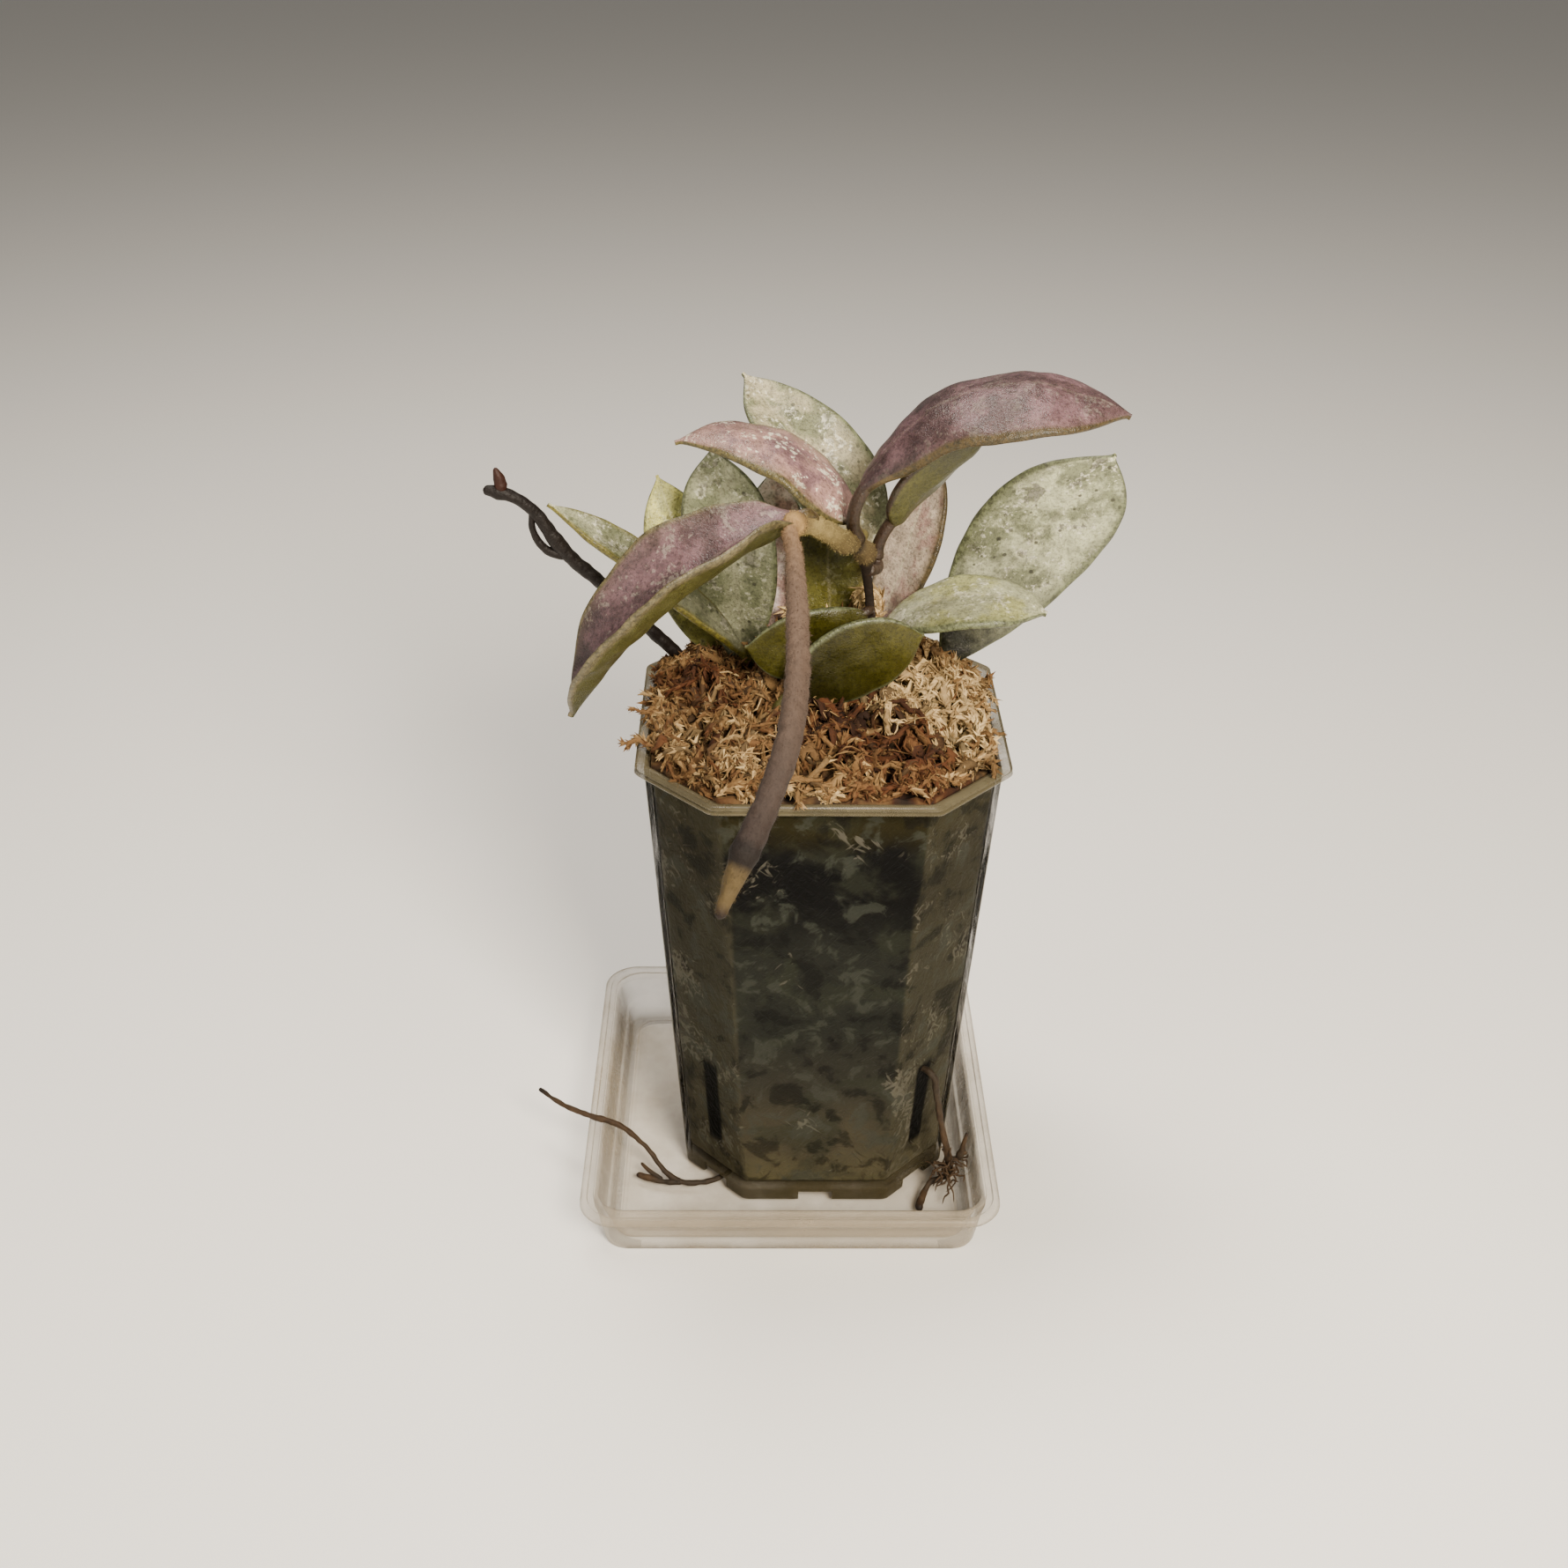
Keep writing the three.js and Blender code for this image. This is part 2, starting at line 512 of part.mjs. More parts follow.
// The point at an angle and a share of the way out to the pot's wall.
function mossSpot(angle, share, z, inset) {
  const { half, leg } = potWall(z);
  const flat = half - inset;
  const cut = (2 * flat - leg + inset * (2 - Math.SQRT2)) / Math.SQRT2;
  const [cos, sin] = [Math.abs(Math.cos(angle)), Math.abs(Math.sin(angle))];
  const reach = Math.min(flat / Math.max(cos, sin), cut * Math.SQRT2 / (cos + sin));
  return [
    POT.centre[0] + share * reach * Math.cos(angle),
    POT.centre[1] + share * reach * Math.sin(angle),
  ];
}

function mossBody() {
  const inset = POT.wall + GAP;
  const floor = POT.bottom + POT.skirt + POT.floor + GAP;
  const ringAt = (share, z) => {
    const ring = [];
    for (let i = 0; i < MOSS.around; i += 1) {
      const angle = 2 * Math.PI * i / MOSS.around;
      const [x, y] = mossSpot(angle, share, Math.min(z ?? MOSS.edge, MOSS.edge), inset);
      ring.push([x, y, z ?? mossHeight(x, y, share)]);
    }
    return ring;
  };
  const rings = [ringAt(1, floor), ringAt(1, MOSS.edge / 2), ringAt(1, MOSS.edge - MOSS.collar)];
  for (let r = 0; r < MOSS.rings; r += 1) rings.push(ringAt(1 - r / MOSS.rings));
  return toSolid(skin(rings));
}

// One bent strand of moss, a three-sided spike rooted below the surface. A lean of 1 lays it
// along the ground, and 0 stands it up.
function strand(x, y, z, turn, length, lean) {
  const flat = length * lean;
  const tall = length * (1 - lean);
  const at = (reach, rise, share) => [
    x + reach * Math.cos(turn), y + reach * Math.sin(turn), z + rise, share * STRAND.radius,
  ];
  return tube([
    at(-0.25 * flat, -STRAND.depth, 1), at(0.15 * flat, 0.9, 1),
    at(0.75 * flat, 1.2 + 0.35 * tall, 0.85), at(1.1 * flat, 0.9 + 0.75 * tall, 0.5),
  ], { sides: STRAND.sides, step: length / STRAND.parts });
}

function makeMoss() {
  const random = seededRandom(MOSS.seed);
  const strands = [];
  for (let i = 0; i < TUFTS.count; i += 1) {
    const angle = 2 * Math.PI * (i * TUFTS.turn % 1);
    const share = TUFTS.first + TUFTS.spread * Math.sqrt((i + 0.5) / TUFTS.count);
    const [x, y] = mossSpot(angle, share, MOSS.edge, POT.wall + GAP);
    const turn = angle + Math.PI + (random() - 0.5) * TUFTS.swing;
    const length = TUFTS.length + TUFTS.lengthMore * random();
    const lean = TUFTS.lean + TUFTS.leanMore * random();
    strands.push(strand(x, y, mossHeight(x, y, share), turn, length, lean));
  }
  for (const [x, y, turn, length] of TALL_STRANDS) {
    strands.push(strand(x, y, TALL.rootedAt, turn, length, TALL.lean));
  }
  for (const [x, y, turn, length] of STRAY_STRANDS) {
    strands.push(strand(x, y, STRAY.rootedAt, turn, length, STRAY.lean));
  }
  return wasm.Manifold.union([mossBody(), ...strands]);
}

// ---- The plant in its pot ------------------------------------------------------------------

function material(color, roughness, opacity = 1) {
  return new THREE.MeshStandardMaterial({
    color, roughness, metalness: 0, opacity, transparent: opacity < 1,
  });
}

const clearPlastic = material(0xcfc9b4, 0.3, 0.5);
const dryMoss = material(0xa98a5e, 0.95);
const stemBark = material(0x6a5648, 0.8);
const darkBark = material(0x2e2420, 0.7);
const rootSkin = material(0x6e4c2e, 0.8);

const branchedRoot = ({ main, branches }) => (grow) => branches.reduce(
  (root, branch) => root.add(tube(branch, ROOT, grow)), tube(main, ROOT, grow),
);
const rootLeft = branchedRoot(ROOT_LEFT);
const rootRight = branchedRoot(ROOT_RIGHT);
const bareShoot = (grow) => tube(BARE_SHOOT, STEM, grow)
  .add(tube(SHOOT_LOOP, ROOT, grow)).add(tube(BUD, ROOT, grow));
const vine = (grow) => tube(VINE, STEM, grow);

const plant = new THREE.Group();
function addPiece(name, solid, finish) {
  const mesh = new THREE.Mesh(toGeometry(solid), finish);
  mesh.name = name;
  plant.add(mesh);
}

const vineRoom = vine(GAP);
let moss = makeMoss().subtract(vine(HOLE_GAP));
for (const grower of [rootLeft, rootRight, bareShoot]) moss = moss.subtract(grower(HOLE_GAP));
for (const [name, spec] of Object.entries(LEAVES)) {
  addPiece(name, leaf(spec).subtract(vineRoom), material(LEAF_FINISH[name], 0.45));
  moss = moss.subtract(leaf(spec, HOLE_GAP));
}
const keptMoss = moss.decompose().sort((a, b) => b.volume() - a.volume())[0];

addPiece('saucer', makeSaucer(), clearPlastic);
addPiece('pot', makePot(), clearPlastic);
addPiece('moss', keptMoss, dryMoss);
addPiece('vine', vine(0), stemBark);
addPiece('bare_shoot', bareShoot(0), darkBark);
addPiece('root_left', rootLeft(0), rootSkin);
addPiece('root_right', rootRight(0), rootSkin);

export default plant;
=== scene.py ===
"""A hoya in a clear nursery pot on a clear square saucer: leaves, stems, moss and plastic.

Sizes in the tables and shapes are millimetres. Each mesh is made in metres, at its place.
"""

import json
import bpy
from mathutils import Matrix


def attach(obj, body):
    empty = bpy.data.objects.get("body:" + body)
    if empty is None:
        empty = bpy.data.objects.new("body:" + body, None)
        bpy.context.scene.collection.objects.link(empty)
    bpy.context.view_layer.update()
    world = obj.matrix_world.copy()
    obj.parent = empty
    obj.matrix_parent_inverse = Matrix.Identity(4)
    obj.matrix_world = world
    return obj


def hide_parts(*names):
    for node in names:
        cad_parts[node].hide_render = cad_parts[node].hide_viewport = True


bl_info = {
    "name": "Potted hoya",
    "version": (1, 0, 0),
    "blender": (4, 5, 0),
    "location": "3D View > Sidebar > Hoya",
    "description": "Builds the leaves, stems, roots, moss, pot and saucer of a potted hoya",
    "category": "Add Mesh",
}

import bpy
import numpy as np
from bpy.props import FloatProperty, FloatVectorProperty, IntProperty, PointerProperty
from mathutils import Matrix, Vector

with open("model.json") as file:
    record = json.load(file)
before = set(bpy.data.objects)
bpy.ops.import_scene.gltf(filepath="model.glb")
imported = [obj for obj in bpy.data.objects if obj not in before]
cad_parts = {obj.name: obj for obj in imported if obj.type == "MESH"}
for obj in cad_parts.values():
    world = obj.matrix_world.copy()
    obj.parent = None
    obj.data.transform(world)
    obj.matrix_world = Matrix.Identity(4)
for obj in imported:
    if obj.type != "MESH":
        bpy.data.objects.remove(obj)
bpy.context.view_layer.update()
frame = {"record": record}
MM = 0.001

# A leaf's blade runs from base to tip and looks along face. arch lifts its midrib, sway bends it
# sideways, broad is where it is widest, and cup and twist are in degrees. thick is half its
# thickness, where it isn't HALF_THICKNESS. The petiole runs from foot to base, and petiole is its
# radius.
LEAVES = {
    "leaf_top_right": dict(
        foot=(11.2, 1.4, 139.2), petiole=1.25, base=(12, -2, 150.3), tip=(58, -3.5, 164.5),
        face=(-0.29, -0.12, 0.95), arch=9.6, sway=4.6, width=25.5, broad=0.6, cup=-15, twist=-10,
        thick=1.35,
    ),
    "leaf_top_left": dict(
        foot=(12.4, 5, 138.4), petiole=1, base=(10.2, 4, 141.6), tip=(-22, 5.5, 156),
        face=(0.41, -0.11, 0.91), arch=6.4, sway=-2.8, width=21, broad=0.37, cup=-8, twist=0,
    ),
    "leaf_front_left": dict(
        foot=(2.4, -11.4, 148.6), petiole=1.1, base=(0.8, -13.4, 150), tip=(-40.4, -20.3, 114),
        face=(-0.63, -0.19, 0.75), arch=6.9, sway=3.4, width=24, broad=0.48, cup=34, twist=11,
        thick=1.35,
    ),
    "leaf_back_left": dict(
        foot=(13.6, 6, 131.2), petiole=1, base=(15.3, 14, 130.5), tip=(-10, 31, 160.5),
        face=(0.42, -0.6, 0.68), arch=2.8, sway=1.2, width=21.8, broad=0.42, cup=16, twist=-9,
    ),
    "leaf_upright_left": dict(
        foot=(-9, 20.4, 94), petiole=1.2, base=(-10.4, 20.4, 103), tip=(-15.8, 18.4, 150.4),
        face=(-0.23, -0.97, -0.08), arch=0, sway=-1.8, width=18.6, broad=0.62, cup=9, twist=-10,
    ),
    "leaf_yellow_left": dict(
        foot=(-12, 25.5, 94), petiole=1, base=(-13.6, 25.6, 103), tip=(-26.8, 29.4, 140.6),
        face=(0.15, -0.96, 0.22), arch=1.9, sway=0.5, width=15.5, broad=0.5, cup=5, twist=0,
    ),
    "leaf_narrow_left": dict(
        foot=(-9.4, 14.8, 94), petiole=1, base=(-10.2, 15.1, 109.4), tip=(-46.2, 11.2, 141.7),
        face=(0.73, -0.25, 0.64), arch=0.8, sway=-1.3, width=10, broad=0.52, cup=12, twist=6,
    ),
    "leaf_big_right": dict(
        foot=(28.5, 17.5, 94), petiole=1.3, base=(30.4, 18.4, 105), tip=(59.3, 13, 151.4),
        face=(0.05, -0.99, -0.15), arch=-4.8, sway=0, width=26.4, broad=0.62, cup=4, twist=12,
        thick=1.2,
    ),
    "leaf_mauve_back": dict(
        foot=(17, 19, 94), petiole=1.1, base=(17.4, 19.4, 113), tip=(27.4, 24.4, 146.6),
        face=(-0.68, -0.66, 0.32), arch=0.3, sway=-1.3, width=14.4, broad=0.5, cup=8, twist=0,
    ),
    "leaf_under_right": dict(
        foot=(15, 4.6, 134.6), petiole=1.15, base=(17.6, 4.4, 141.4), tip=(35.8, 9.5, 158),
        face=(-0.63, 0.6, 0.5), arch=0.4, sway=-0.9, width=15.2, broad=0.38, cup=8, twist=11,
    ),
    "leaf_low_right": dict(
        foot=(14.8, 8.4, 119), petiole=1, base=(17.5, 5, 119.9), tip=(47.4, 2, 124),
        face=(-0.15, -0.1, 0.98), arch=3.2, sway=1.9, width=18.2, broad=0.53, cup=-3, twist=0,
        thick=1.4,
    ),
    "leaf_front_low": dict(
        foot=(-1, -4.2, 96), petiole=1.2, base=(-0.5, -4.8, 110.2), tip=(24.2, -1.9, 121.6),
        face=(-0.21, 0.96, 0.16), arch=0, sway=-1, width=17.8, broad=0.5, cup=2, twist=0,
    ),
    "leaf_behind_low": dict(
        foot=(14.4, 8, 121.8), petiole=0.9, base=(13.4, 5.6, 122.4), tip=(-9.4, 1.8, 117),
        face=(-0.22, 0.97, 0.07), arch=-1.2, sway=-2.5, width=15, broad=0.5, cup=-2, twist=0,
    ),
    "leaf_shaded_back": dict(
        foot=(7.8, 18.6, 94), petiole=1, base=(8.2, 19.2, 104), tip=(6.2, 24.2, 139),
        face=(-0.1, -0.95, 0.2), arch=0.5, sway=0, width=15.6, broad=0.5, cup=6, twist=0,
    ),
    "leaf_lilac_back": dict(
        foot=(-3, 24.5, 94), petiole=1, base=(-4.6, 25, 103), tip=(-4, 28.4, 142.6),
        face=(0.1, -0.97, 0.15), arch=0.8, sway=0, width=14.5, broad=0.52, cup=5, twist=0,
    ),
}
HALF_THICKNESS = 1.1
PETIOLE_RINGS = 18
# How full a blade's outline is: 1 is an ellipse and 2 a parabola.
FULLNESS = 1.3

# The colours of each leaf by their names in the leaf settings. flecks and spots say how much of
# the skin the pale flecks and dark spots take, rib how far the midrib's colour shows, and border
# how far the rim's colour shows on the skin beside it. tones are the upper skin's brightness at the
# blade's base, at 0.4 of its length and at its tip: partly the leaf's own colour and partly painted
# shade and painted light, for leaves that lie in or out of the others' shade. A leaf may also give
# the lower skin's brightness at the same places, and that is painted shade and painted light.
LEAF_LOOKS = {
    "leaf_top_right": dict(
        skin="mauve", cloud="mauve_deep", under="dark_sage", rim="tan_rim", flecks=0.08, spots=0.35,
        rib=0.1, border=0.2, stalk="dark_stalk", tones=(0.5, 0.8, 1.25),
    ),
    "leaf_top_left": dict(
        skin="mauve_pale", cloud="mauve", under="sage", rim="olive_rim", flecks=0.7, spots=0.2,
        rib=0.1, border=0.5, stalk="olive_rim", tones=(1.3, 1.15, 0.8),
    ),
    # Its lower skin is darkened at the base and brightened along the middle: painted shade and painted
    # light.
    "leaf_front_left": dict(
        skin="mauve", cloud="mauve_deep", under="dark_sage", rim="pale_rim", flecks=0.15,
        spots=0.35, rib=0.15, border=0.25, stalk="tan_rim", tones=(0.9, 0.95, 0.42),
        under_painted_light_tones=(0.6, 1.2, 0.8),
    ),
    "leaf_back_left": dict(
        skin="silver_warm", cloud="silver_deep", under="sage", rim="silver_deep", flecks=0.8,
        spots=0.8, rib=0.5, border=0.6, stalk="dark_stalk", tones=(1, 1, 1.1),
    ),
    "leaf_upright_left": dict(
        skin="grey_green", cloud="silver_deep", under="sage", rim="silver_deep", flecks=0.4,
        spots=0.9, rib=0.15, border=0.5, stalk="olive", tones=(0.45, 0.85, 1.5),
    ),
    "leaf_yellow_left": dict(
        skin="yellow_green", cloud="sage", under="sage", rim="sage", flecks=0.2, spots=0.6,
        rib=0.3, border=0.4, stalk="olive", tones=(0.6, 1, 1.7),
    ),
    "leaf_narrow_left": dict(
        skin="grey_green", cloud="silver_deep", under="sage", rim="olive", flecks=0.6, spots=0.7,
        rib=0.2, border=0.7, stalk="olive", tones=(0.4, 0.45, 1.15),
    ),
    # Its tones darken the blade's base: painted shade under the low right leaf.
    "leaf_big_right": dict(
        skin="silver", cloud="silver_deep", under="sage", rim="silver_deep", flecks=0.8, spots=1,
        rib=0.15, border=0.6, stalk="olive", tones=(0.05, 0.68, 1.25),
    ),
    "leaf_mauve_back": dict(
        skin="taupe", cloud="mauve_pale", under="tan_rim", rim="tan_rim", flecks=0.1, spots=0.3,
        rib=1, border=0.8, stalk="dark_stalk", tones=(0.9, 1, 0.95),
    ),
    "leaf_under_right": dict(
        skin="olive", cloud="dark_sage", under="dark_sage", rim="dark_stalk", flecks=0.1,
        spots=0.2, rib=0.3, border=0.4, stalk="dark_stalk", tones=(0.8, 1.1, 1.2),
    ),
    "leaf_low_right": dict(
        skin="grey_green", cloud="sage", under="dark_sage", rim="silver_deep", flecks=0.5, spots=0.5,
        rib=0.3, border=0.5, stalk="dark_stalk", tones=(0.7, 1.1, 1.2),
    ),
    # Its lower skin darkens towards the base: painted shade near the moss.
    "leaf_front_low": dict(
        skin="silver_deep", cloud="olive", under="moss_green", rim="silver_deep", flecks=0.2,
        spots=0.3, rib=0.5, border=0.4, stalk="dark_sage", tones=(0.3, 1, 1.3),
        under_painted_light_tones=(0.15, 0.62, 1.5),
    ),
    "leaf_behind_low": dict(
        skin="silver_deep", cloud="olive", under="moss_green", rim="silver_deep", flecks=0.5,
        spots=0.8, rib=0.3, border=0.5, stalk="dark_stalk", tones=(1, 1, 1),
    ),
    # Its tones brighten it well above its own colour: painted light on a leaf that stands in shade.
    "leaf_shaded_back": dict(
        skin="dark_sage", cloud="moss_green", under="olive", rim="tan_rim", flecks=0.05, spots=0.3,
        rib=0.1, border=0.6, stalk="olive", tones=(1.1, 2.2, 2.4),
    ),
    # Its tones brighten it above its own colour: painted light where the top left leaf shades it.
    "leaf_lilac_back": dict(
        skin="lilac", cloud="mauve_pale", under="sage", rim="silver_deep", flecks=0.3, spots=0.3,
        rib=0.2, border=0.3, stalk="olive", tones=(0.6, 1.5, 1.7),
    ),
}

# Each point of a stem or root is x, y, z and its radius there. The first point of VINE is 0 in the
# tables that follow it.
VINE = [
    (14, 10, 94, 0.9), (14.2, 9.6, 106, 0.9), (14.6, 9, 114, 0.85), (14.7, 8.4, 120.7, 0.9),
    (14, 7.6, 126.7, 0.85), (13.4, 5.8, 131.5, 1), (13, 3.4, 135.6, 2), (11, 0.4, 138.6, 1.55),
    (8.6, -3, 140.6, 2.05), (6.4, -6.3, 143.4, 1.85), (2.8, -11, 147.2, 1.75),
    (-0.4, -15, 149.2, 1.9), (-1.4, -19, 149.6, 1.3), (-0.9, -28, 150, 1.35),
    (-0.7, -37, 149.8, 1.5), (-0.6, -51, 148.6, 1.75), (-0.8, -65, 144.7, 1.9),
    (-2.4, -76, 139.5, 2), (-5.6, -83, 133.3, 2), (-8.5, -88, 128.9, 2.2),
    (-11, -91, 123.6, 1.5), (-12.2, -93, 121, 0.8),
]
# Where the vine thickens or thins: the place, how far along it this reaches, and the change. Then
# the colours of its bark and of its hairs, each at its place.
VINE_KNOBS = (
    (6.1, 0.28, 0.1), (7, 0.2, -0.3), (8, 0.4, 0.06), (11.1, 0.3, 0.16), (18.95, 0.2, 0.08),
    (20.2, 0.8, -0.22),
)
VINE_BARK = (
    (0, "#1c140e"), (5.4, "#241a12"), (5.9, "#4a3c24"), (6.7, "#4e4128"), (6.95, "#150e09"),
    (7.3, "#4a3d24"), (8.6, "#5a4d2e"), (10.2, "#85754a"), (10.9, "#5c4a30"), (11.4, "#96794e"),
    (12.4, "#7c634a"), (14.5, "#5f4d40"), (17.4, "#3a2f29"), (18.7, "#281f1b"), (18.9, "#120b08"),
    (19.2, "#150e09"), (19.4, "#4c3f26"), (20.3, "#4a3d24"), (20.8, "#1c120d"),
)
VINE_FUR = (
    (0, "#6f5e38"), (6.72, "#85754c"), (6.993, "#4a3c24"), (7.35, "#8d7d52"), (10.29, "#a3935f"),
    (11.34, "#a08354"), (12.39, "#7c634a"), (13.86, "#665446"), (18.06, "#332924"),
    (18.795, "#19120d"), (19.215, "#19120d"), (19.53, "#54472a"), (21, "#4a3d24"),
)
LOWEST_HAIR, HAIR_WIDTH = 5.8, 0.075
BARE_SHOOT = [
    (-20.5, 20.4, 95, 1.2), (-21.9, 20, 104.3, 1.25), (-27.9, 18, 112.3, 1.3),
    (-37.7, 16, 123.9, 1.3), (-42.5, 15, 129, 1.35), (-45.4, 14.2, 133.2, 1.5),
    (-48.8, 13.2, 139.2, 1.15), (-52.2, 12.3, 142.5, 1.1), (-55.2, 12, 143.7, 1.3),
    (-58.1, 12, 144.3, 0.9),
]
SHOOT_LOOP = [
    (-49.4, 13, 139.6, 0.6), (-49.6, 13.4, 136.2, 0.65), (-48.6, 13.9, 133, 0.75),
    (-46.8, 14.3, 130.9, 0.9), (-43.6, 14.8, 129.6, 0.9),
]
BUD = [
    (-54.2, 12, 143.8, 0.7), (-54.7, 12, 145, 1.25), (-55, 12, 146.6, 1.1),
    (-55.6, 12, 148.6, 0.35),
]
ROOT_LEFT = [
    [
        (-4.8, -8.2, 12, 0.6), (-5.2, -8.6, 6.4, 0.6), (-6.2, -9.8, 3.3, 0.6),
        (-9, -13.2, 2.5, 0.6), (-15, -19.6, 2.3, 0.55), (-21.5, -21, 2.3, 0.65),
        (-25.4, -19.4, 3.1, 0.6), (-30.4, -15.4, 7.4, 0.5), (-36, -14.4, 12.5, 0.65),
        (-41.2, -12.9, 13.3, 0.6), (-48, -9.2, 13.4, 0.55), (-53.8, -3.8, 13.3, 0.4),
    ],
    [
        (-22.5, -21, 2.4, 0.6), (-27, -20.4, 2.2, 0.6), (-30.4, -19.2, 2.3, 0.75),
        (-32.3, -18.6, 2.4, 0.45),
    ],
    [(-26.6, -20.2, 2.3, 0.5), (-29.4, -18.6, 3.3, 0.45), (-31.4, -16.6, 3.9, 0.35)],
]
ROOT_RIGHT = [
    [
        (21.5, -14.4, 31, 0.7), (25.2, -18.2, 32.4, 0.7), (28.8, -21.8, 32.2, 0.75),
        (29.8, -22.6, 27.6, 0.65), (31, -23, 20.6, 0.65), (32.4, -23.2, 14.4, 0.75),
        (33.4, -21.6, 8, 0.65),
    ],
    [
        (33, -22.2, 10.4, 0.6), (34.9, -22, 10, 0.6), (35.7, -22, 11.5, 0.8),
        (36, -22, 13.7, 0.5), (36.4, -22, 15.9, 0.5), (36.7, -22, 17.2, 0.35),
    ],
    [(35.5, -22, 11.2, 0.6), (36.4, -22.3, 12, 0.5), (37, -22.6, 12.3, 0.4)],
    [
        (33.4, -21.7, 8.6, 0.65), (33.8, -21.9, 6.2, 0.7), (31.6, -22.3, 4.9, 0.65),
        (29.6, -22.8, 4.3, 0.6), (28.4, -24.2, 3.1, 0.6), (27.4, -26.6, 2.5, 0.9),
        (26.8, -29, 2.4, 0.7),
    ],
]

# Fine roots on the right root: how many, where they start, how far that varies, and their radii.
ROOTLETS = 26
ROOTLET_START, ROOTLET_SPREAD = (33.4, -22.4, 9), (0.7, 0.4, 2.2)
ROOTLET_RADII = (0.3, 0.26, 0.22, 0.2, 0.16, 0.1)

# The pot is a square with cut corners. At its base, mouth and lip, the first value is how far its
# flat sides stand from its middle, and the second what a cut takes off the end of each side. The
# skirt is how far its floor stands above its foot.
POT_CENTRE = np.array([5.4, 2.0])
POT_FOOT, POT_SHOULDER = 1.5, 100.7
POT_BASE, POT_BASE_CUT = 27.2, 12.4
POT_MOUTH, POT_MOUTH_CUT = 33.25, 13.8
POT_LIP, POT_LIP_CUT = 35.0, 14.4
POT_WALL, POT_SKIRT, POT_FLOOR = 1.0, 3.0, 1.2
POT_ROUNDING, LIP_ROUNDING = 2.2, 2.6
SLOT_WIDTH, SLOT_LOW, SLOT_HIGH = 4.2, 12.4, 34.4
NOTCH_WIDTH, DRAIN_REACH, DRAIN_RADIUS = 7, 15, 3.2

# The lip's two beads, up their outside and over the top: how far each point stands in from the
# widest one, and how far above the shoulder.
LIP_PROFILE = (
    (1.75, 0.0), (0.5, 0.06), (0.12, 0.2), (0.0, 0.42), (0.08, 0.68), (0.42, 0.84), (0.46, 0.96),
    (0.18, 1.1), (0.08, 1.3), (0.16, 1.56), (0.42, 1.72), (0.8, 1.8), (1.3, 1.8), (1.75, 1.7),
    (2.1, 1.45), (2.35, 1.15),
)

# The saucer's profile from under its middle round to the middle of its floor: half the square's
# width, the corner's radius and the height.
SAUCER_PROFILE = (
    (0.5, 0.2, 0.35), (30, 4, 0.35), (34.6, 4.8, 0.35), (35.2, 4.9, 0), (37.3, 5, 0), (38, 5.1, 0.4),
    (38.6, 5.6, 3.6), (39.5, 6, 9.4), (39.75, 6.1, 9.95), (41.6, 6.9, 10.05), (42.2, 7, 10.3),
    (42.4, 7, 10.8), (42.35, 7, 11.4), (42.1, 7, 11.8), (41.6, 6.8, 11.98), (41.1, 6.5, 11.95),
    (40.9, 6.4, 11.4), (40.6, 6.3, 11.3), (40.1, 6.2, 11.3), (39.85, 6.1, 11.4), (39.7, 6, 11.95),
    (39.3, 5.8, 12), (38.95, 5.6, 11.85), (38.7, 5.4, 11.4), (38.3, 5.2, 9.6), (37.5, 4.9, 6.6),
    (37.4, 4.85, 6.3), (37.1, 4.8, 6.1), (36.9, 4.7, 5.7), (36.25, 4.5, 2.2), (35.9, 4.3, 1.5),
    (35.3, 4.1, 1.25), (34.9, 4, 1.2), (34.7, 4, 1.35), (34.45, 3.9, 1.62), (34.1, 3.8, 1.62),
    (33.85, 3.7, 1.35), (33.6, 3.6, 1.2), (25, 3, 1.2), (0.5, 0.2, 1.2),
)

# The moss starts just above the pot's floor. Its edge is the height of its top at the wall.
GAP = 0.3
MOSS_INSET = POT_WALL + GAP
MOSS_FOOT = POT_FOOT + POT_SKIRT + POT_FLOOR + GAP
MOSS_EDGE, MOSS_MOUND = 101.2, 4.6

# Pale and dark patches of the dry moss: x, y, how far they reach, and the change of shade. The
# pale and rusty patches are the moss's own colour; the dark ones at 8.5, -11.5, at -15.5, 4.9 and
# at -24, 10, under the low and the left leaves, are painted shade. The painted shade under the low
# leaf is also written the same way, with how much darker strands lie in it.
MOSS_PATCHES = (
    (28, 7.5, 10, 0.36), (33, -11, 8, 0.34), (18, -1, 7, 0.26), (22.6, -21.4, 8.5, -0.3),
    (12, -23.5, 6, 0.02), (8.5, -11.5, 7.5, -0.46), (-15.5, 4.9, 8, -0.26), (-19, -9, 8, 0.04),
    (-2, -24, 8, 0.06), (30, 24, 9, 0.08), (-24, 10, 7, -0.14),
)
MOSS_PAINTED_SHADE_UNDER_LEAF = (8.5, -10.5, 6, 0.42)

# Bunches of three strands that stand in a tuft, and that stray over the lip: x, y, their heading
# in radians, and their height or length.
MOSS_CURLS = (
    (11.4, 13.4, 2.9, 22), (6.8, 14.2, 0.4, 20), (9.4, 12.4, 5.1, 16), (3, 15, 3, 16),
    (0.2, 15.4, 0.3, 13), (-3, 14.6, 2.4, 11), (5, 14, 1.5, 12.5), (1.6, 13.4, 4.6, 10.5),
    (29, 12, 1, 7),
)
MOSS_STRAYS = (
    (-22, 8, 3.2, 12), (-22, -14, 3.4, 10), (-23, 1, 3.0, 8), (33, -4, 0.1, 9),
    (31, 14, 0.5, 9), (-21, 18, 2.7, 9), (34, 6, 0.0, 7), (33, -12, -0.3, 7),
)

